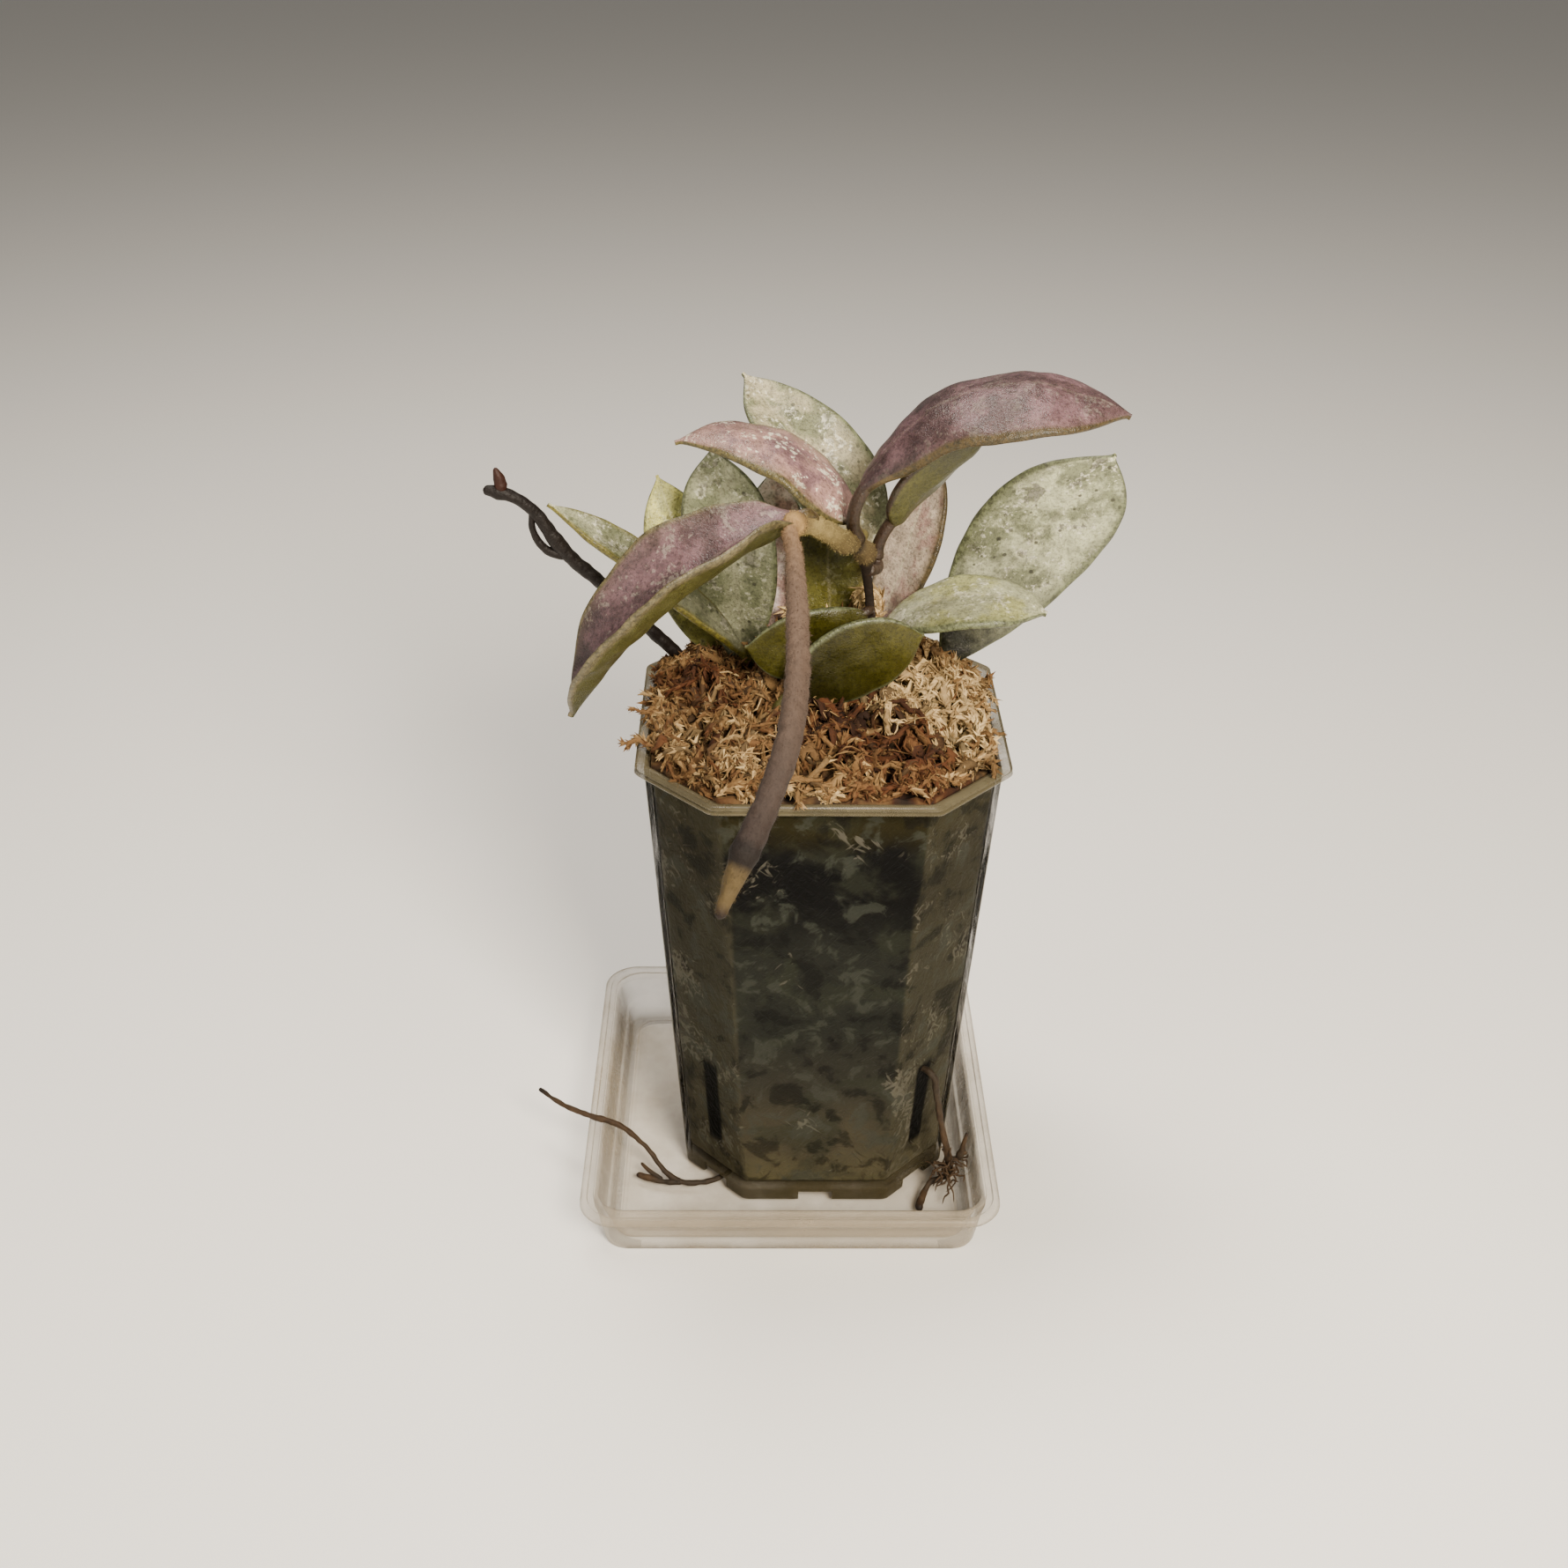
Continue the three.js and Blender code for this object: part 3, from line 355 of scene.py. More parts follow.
# The stage is in metres. The camera turns to the right, downwards and clockwise, in degrees. Each
# light has its place, its size, its share of the key light's power and its colour.
FLOOR_REACH = 4
CAMERA_SPOT = (-0.00604, -0.30706, 0.27222)
CAMERA_TURNS = (0.817, 30.98, -0.633)
LIGHTS_AIM = (0, 0, 0.1)
LIGHTS = {
    "key_light": ((0.19, -0.47, 0.46), 0.2, 1, "#fff3e0"),
    "top_light": ((-0.06, 0.16, 0.68), 0.22, 0.4, "#fff6ea"),
    "side_light": ((-0.5, -0.3, 0.3), 0.35, 0.14, "#fff8ee"),
}


def linear(code):
    """The linear colour of an sRGB hex code."""
    values = np.array([int(code[i:i + 2], 16) for i in (1, 3, 5)]) / 255
    toned = np.where(values <= 0.04045, values / 12.92, ((values + 0.055) / 1.055) ** 2.4)
    return (*toned.tolist(), 1.0)


def tint(name, code, description):
    """A colour that a user can change."""
    return FloatVectorProperty(
        name=name, description=description, subtype="COLOR", size=4, min=0, max=1,
        default=linear(code),
    )


def palette(settings):
    """The colours of a group of settings, by their names."""
    return {
        key: tuple(getattr(settings, key))
        for key, kind in settings.bl_rna.properties.items()
        if kind.type == "FLOAT" and kind.is_array
    }


class HoyaLeafSettings(bpy.types.PropertyGroup):
    """The leaves' detail and colours"""
    rows: IntProperty(
        name="Rows", description="Rings of points along each blade", default=84, min=12, max=200,
    )
    sides: IntProperty(
        name="Sides", description="Points round each ring of a blade", default=40, min=10, max=96,
    )
    groove: FloatProperty(
        name="Midrib groove", description="How deep the midrib lies in the upper side",
        default=0.0003, min=0, max=0.001, precision=5, unit="LENGTH", subtype="DISTANCE",
    )
    swell: FloatProperty(
        name="Swell", description="How far the flesh swells and sinks over the blade",
        default=0.0003, min=0, max=0.001, precision=5, unit="LENGTH", subtype="DISTANCE",
    )
    mauve: tint("Mauve", "#6d5256", "Upper side of the sun-flushed leaves")
    mauve_deep: tint("Deep mauve", "#463434", "Clouds on the sun-flushed leaves")
    mauve_pale: tint("Pale mauve", "#997870", "Upper side of the palest flushed leaf")
    silver: tint("Silver green", "#bec09c", "Upper side of the silveriest leaf")
    silver_warm: tint("Warm silver", "#a79f80", "Upper side of the silvery leaf that faces up")
    silver_deep: tint("Deep silver green", "#676c4e", "Clouds on the silvery leaves")
    grey_green: tint("Grey green", "#97987a", "Upper side of the greyer leaves")
    sage: tint("Sage", "#90905a", "Underside of most leaves")
    dark_sage: tint("Dark sage", "#48461f", "Undersides that hang in shade")
    olive: tint("Olive", "#6c6528", "Leaves that stand in shade")
    moss_green: tint("Moss green", "#3c390b", "Underside of the lowest leaves")
    yellow_green: tint("Yellow green", "#b0ac5a", "The yellowing leaf")
    taupe: tint("Taupe", "#b7a692", "The brownish leaf at the back")
    lilac: tint("Lilac", "#c4b8b4", "The bluish leaf at the back")
    tan_rim: tint("Tan rim", "#4c3f25", "Margins that have tanned")
    olive_rim: tint("Olive rim", "#5d5430", "Margins of the flecked leaf")
    pale_rim: tint("Pale rim", "#635a3e", "Margin of the drooping leaf")
    dark_stalk: tint("Dark stalk", "#33251a", "Petioles that have gone woody")
    fleck: tint("Fleck", "#dcd8c2", "Silvery flecks on the skin")
    spot: tint("Spot", "#2f2e20", "Dark spots and blotches on the skin")
    rib: tint("Midrib", "#c2b79c", "The midrib's paler line")


class HoyaStemSettings(bpy.types.PropertyGroup):
    """The live stem's hairs, and the colours of stems and roots"""
    hairs: IntProperty(
        name="Hairs", description="Short hairs on the live stem", default=9000, min=0, max=20000,
    )
    hair_length: FloatProperty(
        name="Hair length", description="Longest hair on the stem",
        default=0.00045, min=0.0001, max=0.003, precision=5, unit="LENGTH", subtype="DISTANCE",
    )
    bark: tint("Dead bark", "#120b08", "The dry shoot")
    bud: tint("Bud", "#2e150b", "Bud on the dry shoot")
    root: tint("Root", "#3c2c1b", "Skin of the roots")
    root_tip: tint("Root tip", "#1a120c", "Dead ends of the roots")


class HoyaMossSettings(bpy.types.PropertyGroup):
    """How many strands of each kind there are, and the colours of dry and wet moss"""
    feathers: IntProperty(
        name="Feathers", description="Long strands covered in leaflets", default=560, min=0,
        max=1500,
    )
    shreds: IntProperty(
        name="Shreds", description="Broad curled flakes", default=280, min=0, max=1500,
    )
    tufts: IntProperty(
        name="Tufts", description="Heads of moss with drooping arms", default=56, min=0, max=200,
    )
    fibres: IntProperty(
        name="Fibres", description="Long thin strands on top", default=120, min=0, max=1000,
    )
    straw: tint("Straw", "#dcc08c", "The palest dry moss")
    tan: tint("Tan", "#7a5e3a", "Most of the dry moss")
    rust: tint("Rust", "#4f2c14", "The orange brown patch")
    # The wet moss between the strands, and the painted shade that strands low in the moss are darkened
    # to.
    shade: tint("Shade", "#150d08", "Wet moss between the strands")
    wet: tint("Wet moss", "#1c1d19", "Moss pressed against the pot's wall")
    wet_black: tint("Soaked moss", "#0b0b0a", "The darkest band behind the wall")
    wet_olive: tint("Olive moss", "#1e1b0c", "The band of algae under the lip")
    wet_pale: tint("Pale strand", "#5b574c", "Strands pressed flat against the wall")


class HoyaPlasticSettings(bpy.types.PropertyGroup):
    """The pot's and the saucer's plastic"""
    milk: tint("Milkiness", "#57503c", "What tints the pot's clear plastic")
    edge: tint("Edge", "#29261b", "The pot's plastic seen edge on, where it takes the moss's colour")
    foot: tint("Foot", "#3b3524", "The pot's hollow foot, which drips and dust have clouded")
    # The saucer's tint is partly the plastic's own milkiness and partly a painted reflection of warm
    # surroundings, which gives it its beige.
    saucer: tint("Saucer tint", "#b8aa92", "What tints the saucer's clear plastic")
    saucer_edge: tint("Saucer edge", "#665c4b", "The saucer's plastic seen edge on")
    roughness: FloatProperty(
        name="Roughness", description="How dull the plastic is", default=0.24, min=0, max=1,
        subtype="FACTOR",
    )


class HoyaStageSettings(bpy.types.PropertyGroup):
    """Camera, lights and floor"""
    lens: FloatProperty(
        name="Lens", description="Focal length on a 36 mm sensor, in millimetres",
        default=41.81, min=10, max=200, unit="CAMERA",
    )
    key: FloatProperty(
        name="Key light", description="Power of the large light overhead", default=10, min=0,
        max=100, unit="POWER",
    )
    floor: tint("Floor", "#f0eeea", "The pale floor")


# ---- Shapes ---------------------------------------------------------------------------------


def unit(vectors):
    """Each vector divided by its own length."""
    return vectors / np.maximum(np.linalg.norm(vectors, axis=-1, keepdims=True), 1e-12)


def ease(values, low, high):
    """0 below low and 1 above high, along a smooth S between them: 3t squared minus 2t cubed."""
    t = np.clip((values - low) / (high - low), 0, 1)
    return t * t * (3 - 2 * t)


def waves(points, length, seed):
    """Smooth noise of about -1 to 1: the sum of eight sine waves, each about length from crest to
    crest and running its own random way, over the root of eight."""
    random = np.random.default_rng(seed)
    ways = unit(random.normal(size=(8, 3))) * random.uniform(0.6, 1.4, (8, 1))
    turns = points @ ways.T * (2 * np.pi / length) + random.uniform(0, 2 * np.pi, 8)
    return np.sin(turns).sum(-1) / np.sqrt(8)


def smooth_route(route, step, fine=60):
    """Points a step apart along a centripetal Catmull-Rom curve through the route's points. On each
    span, the chord lengths' square roots set the knots, and a cubic meets both ends' tangents. It
    is worked out at fine places on each span first."""
    knots = np.array(route, float)
    ends = [2 * knots[0] - knots[1], 2 * knots[-1] - knots[-2]]
    padded = np.vstack([ends[0], knots, ends[1]])
    p0, p1, p2, p3 = (padded[i:len(padded) - 3 + i] for i in range(4))
    gaps = [np.sqrt(np.linalg.norm((b - a)[:, :3], axis=1))[:, None]
            for a, b in ((p0, p1), (p1, p2), (p2, p3))]
    leave = (p1 - p0) / gaps[0] - (p2 - p0) / (gaps[0] + gaps[1]) + (p2 - p1) / gaps[1]
    arrive = (p2 - p1) / gaps[1] - (p3 - p1) / (gaps[1] + gaps[2]) + (p3 - p2) / gaps[2]
    t = np.linspace(0, 1, fine, endpoint=False)[:, None, None]
    cubic = (
        (2 * t ** 3 - 3 * t ** 2 + 1) * p1 + (t ** 3 - 2 * t ** 2 + t) * leave * gaps[1]
        + (3 * t ** 2 - 2 * t ** 3) * p2 + (t ** 3 - t ** 2) * arrive * gaps[1]
    )
    dense = np.vstack([cubic.transpose(1, 0, 2).reshape(-1, 4), knots[-1]])
    spans = np.repeat(np.arange(len(knots) - 1), fine) + np.tile(t.ravel(), len(knots) - 1)
    spans = np.append(spans, len(knots) - 1)
    dense[:, 3] = np.interp(spans, np.arange(len(knots)), knots[:, 3])
    run = np.insert(np.cumsum(np.linalg.norm(np.diff(dense[:, :3], axis=0), axis=1)), 0, 0)
    even = np.linspace(0, run[-1], max(4, int(run[-1] / step)))
    columns = [np.interp(even, run, dense[:, k]) for k in range(4)]
    return np.stack(columns, 1), np.interp(even, run, spans)


def turning_frames(centres):
    """Two directions across a route at each of its points, turned as little as possible from one
    point to the next."""
    along = unit(np.gradient(centres, axis=0))
    side = np.array([0.3, 0.9, 0.1])
    sides = []
    for direction in along:
        side = unit(side - direction * (side @ direction))
        sides.append(side)
    sides = np.array(sides)
    return along, sides, np.cross(along, sides)


def stem_rings(route, step, sides, lumpiness, seed):
    """Rings round a route: centre + radius (side cos a + up sin a). Smooth noise moves each point
    in or out by up to lumpiness of the radius, and both ends close in a quarter circle."""
    path, spans = smooth_route(route, step)
    centres, radius = path[:, :3], path[:, 3]
    along, side, up = turning_frames(centres)
    a = (np.arange(sides) + 0.5) * 2 * np.pi / sides
    out = side[:, None] * np.cos(a)[None, :, None] + up[:, None] * np.sin(a)[None, :, None]
    points = centres[:, None] + out * radius[:, None, None]
    swell = 1 + lumpiness * waves(points, 2.6, seed)
    run = np.arange(len(path)) * step
    near_end = np.minimum(run, run[::-1])
    round_end = np.sqrt(1 - (1 - np.clip(near_end / (0.8 * radius), 0.02, 1)) ** 2)
    points = centres[:, None] + out * (radius * round_end)[:, None, None] * swell[..., None]
    return points, centres, along, out, spans


def tubes(bundle):
    """The points and faces of many tubes at once, from an array of tubes by rings by sides. Every
    ring joins the next, and a fan from the ring's middle closes each end."""
    count, rings, sides, _ = bundle.shape
    middles = [bundle[:, end].mean(1)[:, None] for end in (0, -1)]
    points = np.concatenate([bundle.reshape(count, -1, 3), *middles], axis=1)
    ring = np.arange(rings * sides).reshape(rings, sides)
    onward = np.roll(ring, -1, axis=1)
    quads = np.stack([ring[:-1], onward[:-1], onward[1:], ring[1:]], -1).reshape(-1, 4)
    first = np.full(sides, rings * sides)
    fans = np.concatenate([
        np.stack([first, onward[0], ring[0]], -1), np.stack([first + 1, ring[-1], onward[-1]], -1),
    ])
    offsets = np.arange(count)[:, None, None] * (rings * sides + 2)
    return points.reshape(-1, 3), (quads + offsets).reshape(-1, 4), (fans + offsets).reshape(-1, 3)


def spikes(feet, tips, sideways, forwards, width):
    """Thin closed pyramids: three points round each foot and one at its tip, with the base turned
    so that every face looks outwards."""
    half = np.asarray(width)[:, None] / 2
    corners = np.stack([
        feet + sideways * half, feet - sideways * half, feet - forwards * half, tips,
    ], axis=1)
    edges = corners[:, 1:] - corners[:, :1]
    inside_out = np.einsum("ij,ij->i", np.cross(edges[:, 0], edges[:, 1]), edges[:, 2]) > 0
    corners[inside_out] = corners[inside_out][:, [1, 0, 2, 3]]
    faces = np.array([[0, 1, 2], [0, 3, 1], [1, 3, 2], [2, 3, 0]])
    offsets = np.arange(len(feet))[:, None, None] * 4
    return corners.reshape(-1, 3), (faces + offsets).reshape(-1, 3)


def make_mesh(name, points, quads, fans, values, smooth=True):
    """A mesh from arrays of points in millimetres, four-sided and three-sided faces, and a value
    for each point under each name."""
    mesh = bpy.data.meshes.new(name)
    corners = np.concatenate([np.asarray(quads, int).ravel(), np.asarray(fans, int).ravel()])
    sizes = np.concatenate([np.full(len(quads), 4), np.full(len(fans), 3)]).astype(int)
    mesh.vertices.add(len(points))
    mesh.vertices.foreach_set("co", (points * MM).astype(np.float32).ravel())
    mesh.loops.add(len(corners))
    mesh.loops.foreach_set("vertex_index", corners.astype(np.int32))
    mesh.polygons.add(len(sizes))
    starts = np.insert(np.cumsum(sizes)[:-1], 0, 0)
    mesh.polygons.foreach_set("loop_start", starts.astype(np.int32))
    mesh.polygons.foreach_set("use_smooth", np.full(len(sizes), smooth))
    mesh.update(calc_edges=True)
    for key, value in values.items():
        layer = mesh.attributes.new(key, "FLOAT", "POINT")
        layer.data.foreach_set("value", np.asarray(value, np.float32).ravel())
    return mesh


def joined(parts):
    """Several sets of points, quads and fans as one, with every index moved past the points of
    the sets before it."""
    offsets = np.cumsum([0] + [len(points) for points, _, _ in parts[:-1]])
    points = np.concatenate([p for p, _, _ in parts])
    quads = np.concatenate([np.asarray(q, int).reshape(-1, 4) + k
                            for (_, q, _), k in zip(parts, offsets)])
    fans = np.concatenate([np.asarray(f, int).reshape(-1, 3) + k
                           for (_, _, f), k in zip(parts, offsets)])
    return points, quads, fans


def place(mesh, material, slot, *nodes):
    """Puts a finished mesh on the part, in place of the plain solids it stands for."""
    mesh.materials.append(material)
    piece = bpy.data.objects.new(mesh.name, mesh)
    bpy.context.scene.collection.objects.link(piece)
    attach(piece, "root")
    if nodes:
        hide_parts(*nodes)
    return piece


# ---- Materials ------------------------------------------------------------------------------


def add(tree, kind, sockets=(), **settings):
    """Adds a node. Each entry of sockets is a value, or an output to link, under its socket's name
    or number. stops are a colour ramp's places and colours."""
    node = tree.nodes.new(kind)
    for key, value in settings.items():
        if key == "stops":
            ramp = node.color_ramp
            while len(ramp.elements) < len(value):
                ramp.elements.new(1)
            for element, (spot, colour) in zip(ramp.elements, value):
                element.position = spot
                element.color = colour
        else:
            setattr(node, key, value)
    for key, value in dict(sockets).items():
        if isinstance(value, bpy.types.NodeSocket):
            tree.links.new(value, node.inputs[key])
        else:
            node.inputs[key].default_value = value
    return node


def new_material(name):
    """An empty node material, its tree, and the point of the surface in the part's own space."""
    material = bpy.data.materials.new(name)
    material.use_nodes = True
    tree = material.node_tree
    tree.nodes.clear()
    place_on_part = add(tree, "ShaderNodeTexCoord").outputs["Object"]
    return material, tree, place_on_part


def finish_material(tree, sockets, bump=None, distance=0.0002, strength=1.0):
    """Ends a material in one Principled shader, with a bump where there is one."""
    if bump is not None:
        raised = add(tree, "ShaderNodeBump", {
            "Height": bump, "Distance": distance, "Strength": strength,
        })
        sockets = {**sockets, "Normal": raised.outputs["Normal"]}
    shader = add(tree, "ShaderNodeBsdfPrincipled", sockets)
    add(tree, "ShaderNodeOutputMaterial", {"Surface": shader.outputs["BSDF"]})


def covered(tree, colour, layers):
    """A colour with others laid over it in turn, each through its own mask."""
    for mask, over in layers:
        colour = add(tree, "ShaderNodeMix", {0: mask, 6: colour, 7: over}, data_type="RGBA").outputs[2]
    return colour


def leaf_skin(name, look, colours):
    """A hoya leaf: thick flesh under a waxy skin, which gives a broad soft shine. The skin clouds
    over 9 mm and is freckled all over with dark pores of 0.5 mm. Silvery flecks of about 1 mm lie
    in drifts, dark spots are 1 mm and dark blotches 5 mm. The margin is speckled."""
    material, tree, where = new_material(f"waxy leaf {name.removeprefix('leaf_')}")
    along, across, facing = (
        add(tree, "ShaderNodeAttribute", attribute_name=key).outputs["Fac"]
        for key in ("along", "across", "facing")
    )
    noises = {
        key: add(tree, "ShaderNodeTexNoise", {
            "Vector": where, "Scale": scale, "Detail": detail, "Roughness": rough,
        }).outputs["Fac"]
        for key, scale, detail, rough in (
            ("cloud", 110, 5, 0.65), ("blotch", 210, 4, 0.6), ("patch", 420, 4, 0.65),
            ("fine", 1000, 3, 0.65), ("pore", 1900, 2, 0.6), ("grain", 3600, 2, 0.5),
        )
    }
    cells = add(tree, "ShaderNodeTexVoronoi", {"Vector": where, "Scale": 330}).outputs["Distance"]

    def combine(kind, first, second):
        return add(tree, "ShaderNodeMath", {0: first, 1: second}, operation=kind).outputs[0]

    outward = combine("ABSOLUTE", across, 0)
    ranges = {
        "cloud": (noises["cloud"], 0.44, 0.58, 0.85),
        "flecks": (combine("MULTIPLY", noises["fine"], noises["blotch"]), 0.3, 0.34, look["flecks"]),
        "spots": (combine("DIVIDE", cells, noises["cloud"]), 0.34, 0.2, 0.85 * look["spots"]),
        "blotches": (noises["blotch"], 0.58, 0.65, 0.75 * look["spots"]),
        "rib": (outward, 0.07, 0, 0.7 * look["rib"]),
        "under": (facing, 0.1, -0.25, 1),
        "above": (facing, -0.5, -0.25, 1),
        "below": (facing, 0.5, 0.3, 1),
        "line": (outward, 0.92, 0.96, 0.8),
        "border": (outward, 0.6, 0.98, look["border"]),
        "speckle": (noises["fine"], 0.5, 0.56, 0.5),
        "stalk": (along, 0.05, -0.04, 1),
    }
    masks = {
        key: add(tree, "ShaderNodeMapRange", {
            "Value": value, "From Min": low, "From Max": high, "To Max": most,
        }, interpolation_type="SMOOTHSTEP").outputs["Result"]
        for key, (value, low, high, most) in ranges.items()
    }
    rim = combine("MULTIPLY", masks["above"], masks["below"])
    # The skin's brightness along the blade: partly the leaf's own colour, partly painted shade and
    # painted light.
    upper_painted_light_tone, lower_painted_light_tone = (
        add(tree, "ShaderNodeValToRGB", {"Fac": along}, stops=[
            (spot, (value, value, value, 1)) for spot, value in zip((0.04, 0.4, 1), tones)
        ]).outputs["Color"]
        for tones in (look["tones"], look.get("under_painted_light_tones", (1, 1, 1)))
    )
    under = add(tree, "ShaderNodeMix", {
        0: 1, 6: colours[look["under"]], 7: lower_painted_light_tone,
    }, data_type="RGBA", blend_type="MULTIPLY").outputs[2]
    skin = covered(tree, colours[look["skin"]], (
        (masks["cloud"], colours[look["cloud"]]), (masks["flecks"], colours["fleck"]),
        (masks["blotches"], colours["spot"]), (masks["spots"], colours["spot"]),
        (masks["rib"], colours["rib"]), (masks["border"], colours[look["rim"]]),
        (masks["line"], colours["spot"]),
    ))
    skin = add(tree, "ShaderNodeVectorMath", {
        0: skin, 1: upper_painted_light_tone,
    }, operation="MULTIPLY").outputs["Vector"]
    skin = covered(tree, skin, (
        (masks["under"], under), (rim, colours[look["rim"]]),
        (combine("MULTIPLY", rim, masks["speckle"]), colours["spot"]),
        (masks["stalk"], colours[look["stalk"]]),
    ))
    for noise, low, high, dark, share in (
        ("patch", 0.36, 0.6, 0.35, 0.55), ("pore", 0.38, 0.5, 0.25, 0.5),
    ):
        shade = add(tree, "ShaderNodeValToRGB", {"Fac": noises[noise]}, stops=(
            (low, (dark, dark, dark, 1)), (high, (1, 1, 1, 1)),
        )).outputs["Color"]
        skin = add(tree, "ShaderNodeMix", {
            0: share, 6: skin, 7: shade,
        }, data_type="RGBA", blend_type="MULTIPLY").outputs[2]
    dull = add(tree, "ShaderNodeMapRange", {
        "Value": noises["patch"], "From Min": 0.3, "From Max": 0.7, "To Min": 0.27, "To Max": 0.5,
    }).outputs["Result"]
    relief = combine("ADD", noises["fine"], noises["patch"])
    relief = combine("ADD", relief, noises["grain"])
    finish_material(tree, {
        "Base Color": skin, "Roughness": dull, "IOR": 1.45, "Specular IOR Level": 0.45,
        "Subsurface Weight": 0.06, "Subsurface Radius": (0.6, 0.9, 0.3), "Subsurface Scale": 0.001,
    }, relief, distance=0.00025, strength=0.5)
    return material


def banded_skin(name, colours, dull, relief, patch=0.35):
    """Bark, hair or root skin: dull and uneven, with a colour for each stretch of the stem and a
    mottle of 1.5 mm. colours are places from 0 at the foot to 1 at the tip, with a colour each.
    dull is its roughness, relief its bumps' height in metres, and patch how far the mottle shows."""
    material, tree, where = new_material(name)
    along = add(tree, "ShaderNodeAttribute", attribute_name="along").outputs["Fac"]
    mottle = add(tree, "ShaderNodeTexNoise", {
        "Vector": where, "Scale": 650, "Detail": 4, "Roughness": 0.65,
    }).outputs["Fac"]
    band = add(tree, "ShaderNodeValToRGB", {"Fac": along}, stops=colours).outputs["Color"]
    shade = add(tree, "ShaderNodeValToRGB", {"Fac": mottle}, stops=(
        (0.3, (0.3, 0.28, 0.26, 1)), (0.62, (1, 1, 1, 1)),
    )).outputs["Color"]
    skin = add(tree, "ShaderNodeMix", {
        0: patch, 6: band, 7: shade,
    }, data_type="RGBA", blend_type="MULTIPLY").outputs[2]
    finish_material(tree, {
        "Base Color": skin, "Roughness": dull, "Specular IOR Level": 0.25,
    }, mottle, distance=relief)
    return material


def dry_moss_skin(colours):
    """Dried sphagnum: papery and matt, mottled over 0.7 mm. Each strand has its own shade from
    straw to rust, and is darkened towards the shade colour where it lies low among the others:
    painted shade, with the darker wet moss below."""
    material, tree, where = new_material("dried sphagnum")
    shade, deep = (
        add(tree, "ShaderNodeAttribute", attribute_name=key).outputs["Fac"]
        for key in ("shade", "deep")
    )
    fine = add(tree, "ShaderNodeTexNoise", {
        "Vector": where, "Scale": 1400, "Detail": 4, "Roughness": 0.7,
    }).outputs["Fac"]
    tone = add(tree, "ShaderNodeValToRGB", {"Fac": shade}, stops=(
        (0.0, colours["shade"]), (0.3, colours["rust"]), (0.58, colours["tan"]),
        (1.0, colours["straw"]),
    )).outputs["Color"]
    mottle = add(tree, "ShaderNodeValToRGB", {"Fac": fine}, stops=(
        (0.3, (0.42, 0.38, 0.34, 1)), (0.6, (1, 1, 1, 1)),
    )).outputs["Color"]
    tone = add(tree, "ShaderNodeMix", {
        0: 0.6, 6: tone, 7: mottle,
    }, data_type="RGBA", blend_type="MULTIPLY").outputs[2]
    tone = add(tree, "ShaderNodeMix", {
        0: deep, 6: tone, 7: colours["shade"],
    }, data_type="RGBA").outputs[2]
    finish_material(tree, {
        "Base Color": tone, "Roughness": 0.85, "Specular IOR Level": 0.25,
    }, fine, distance=0.00025)
    return material


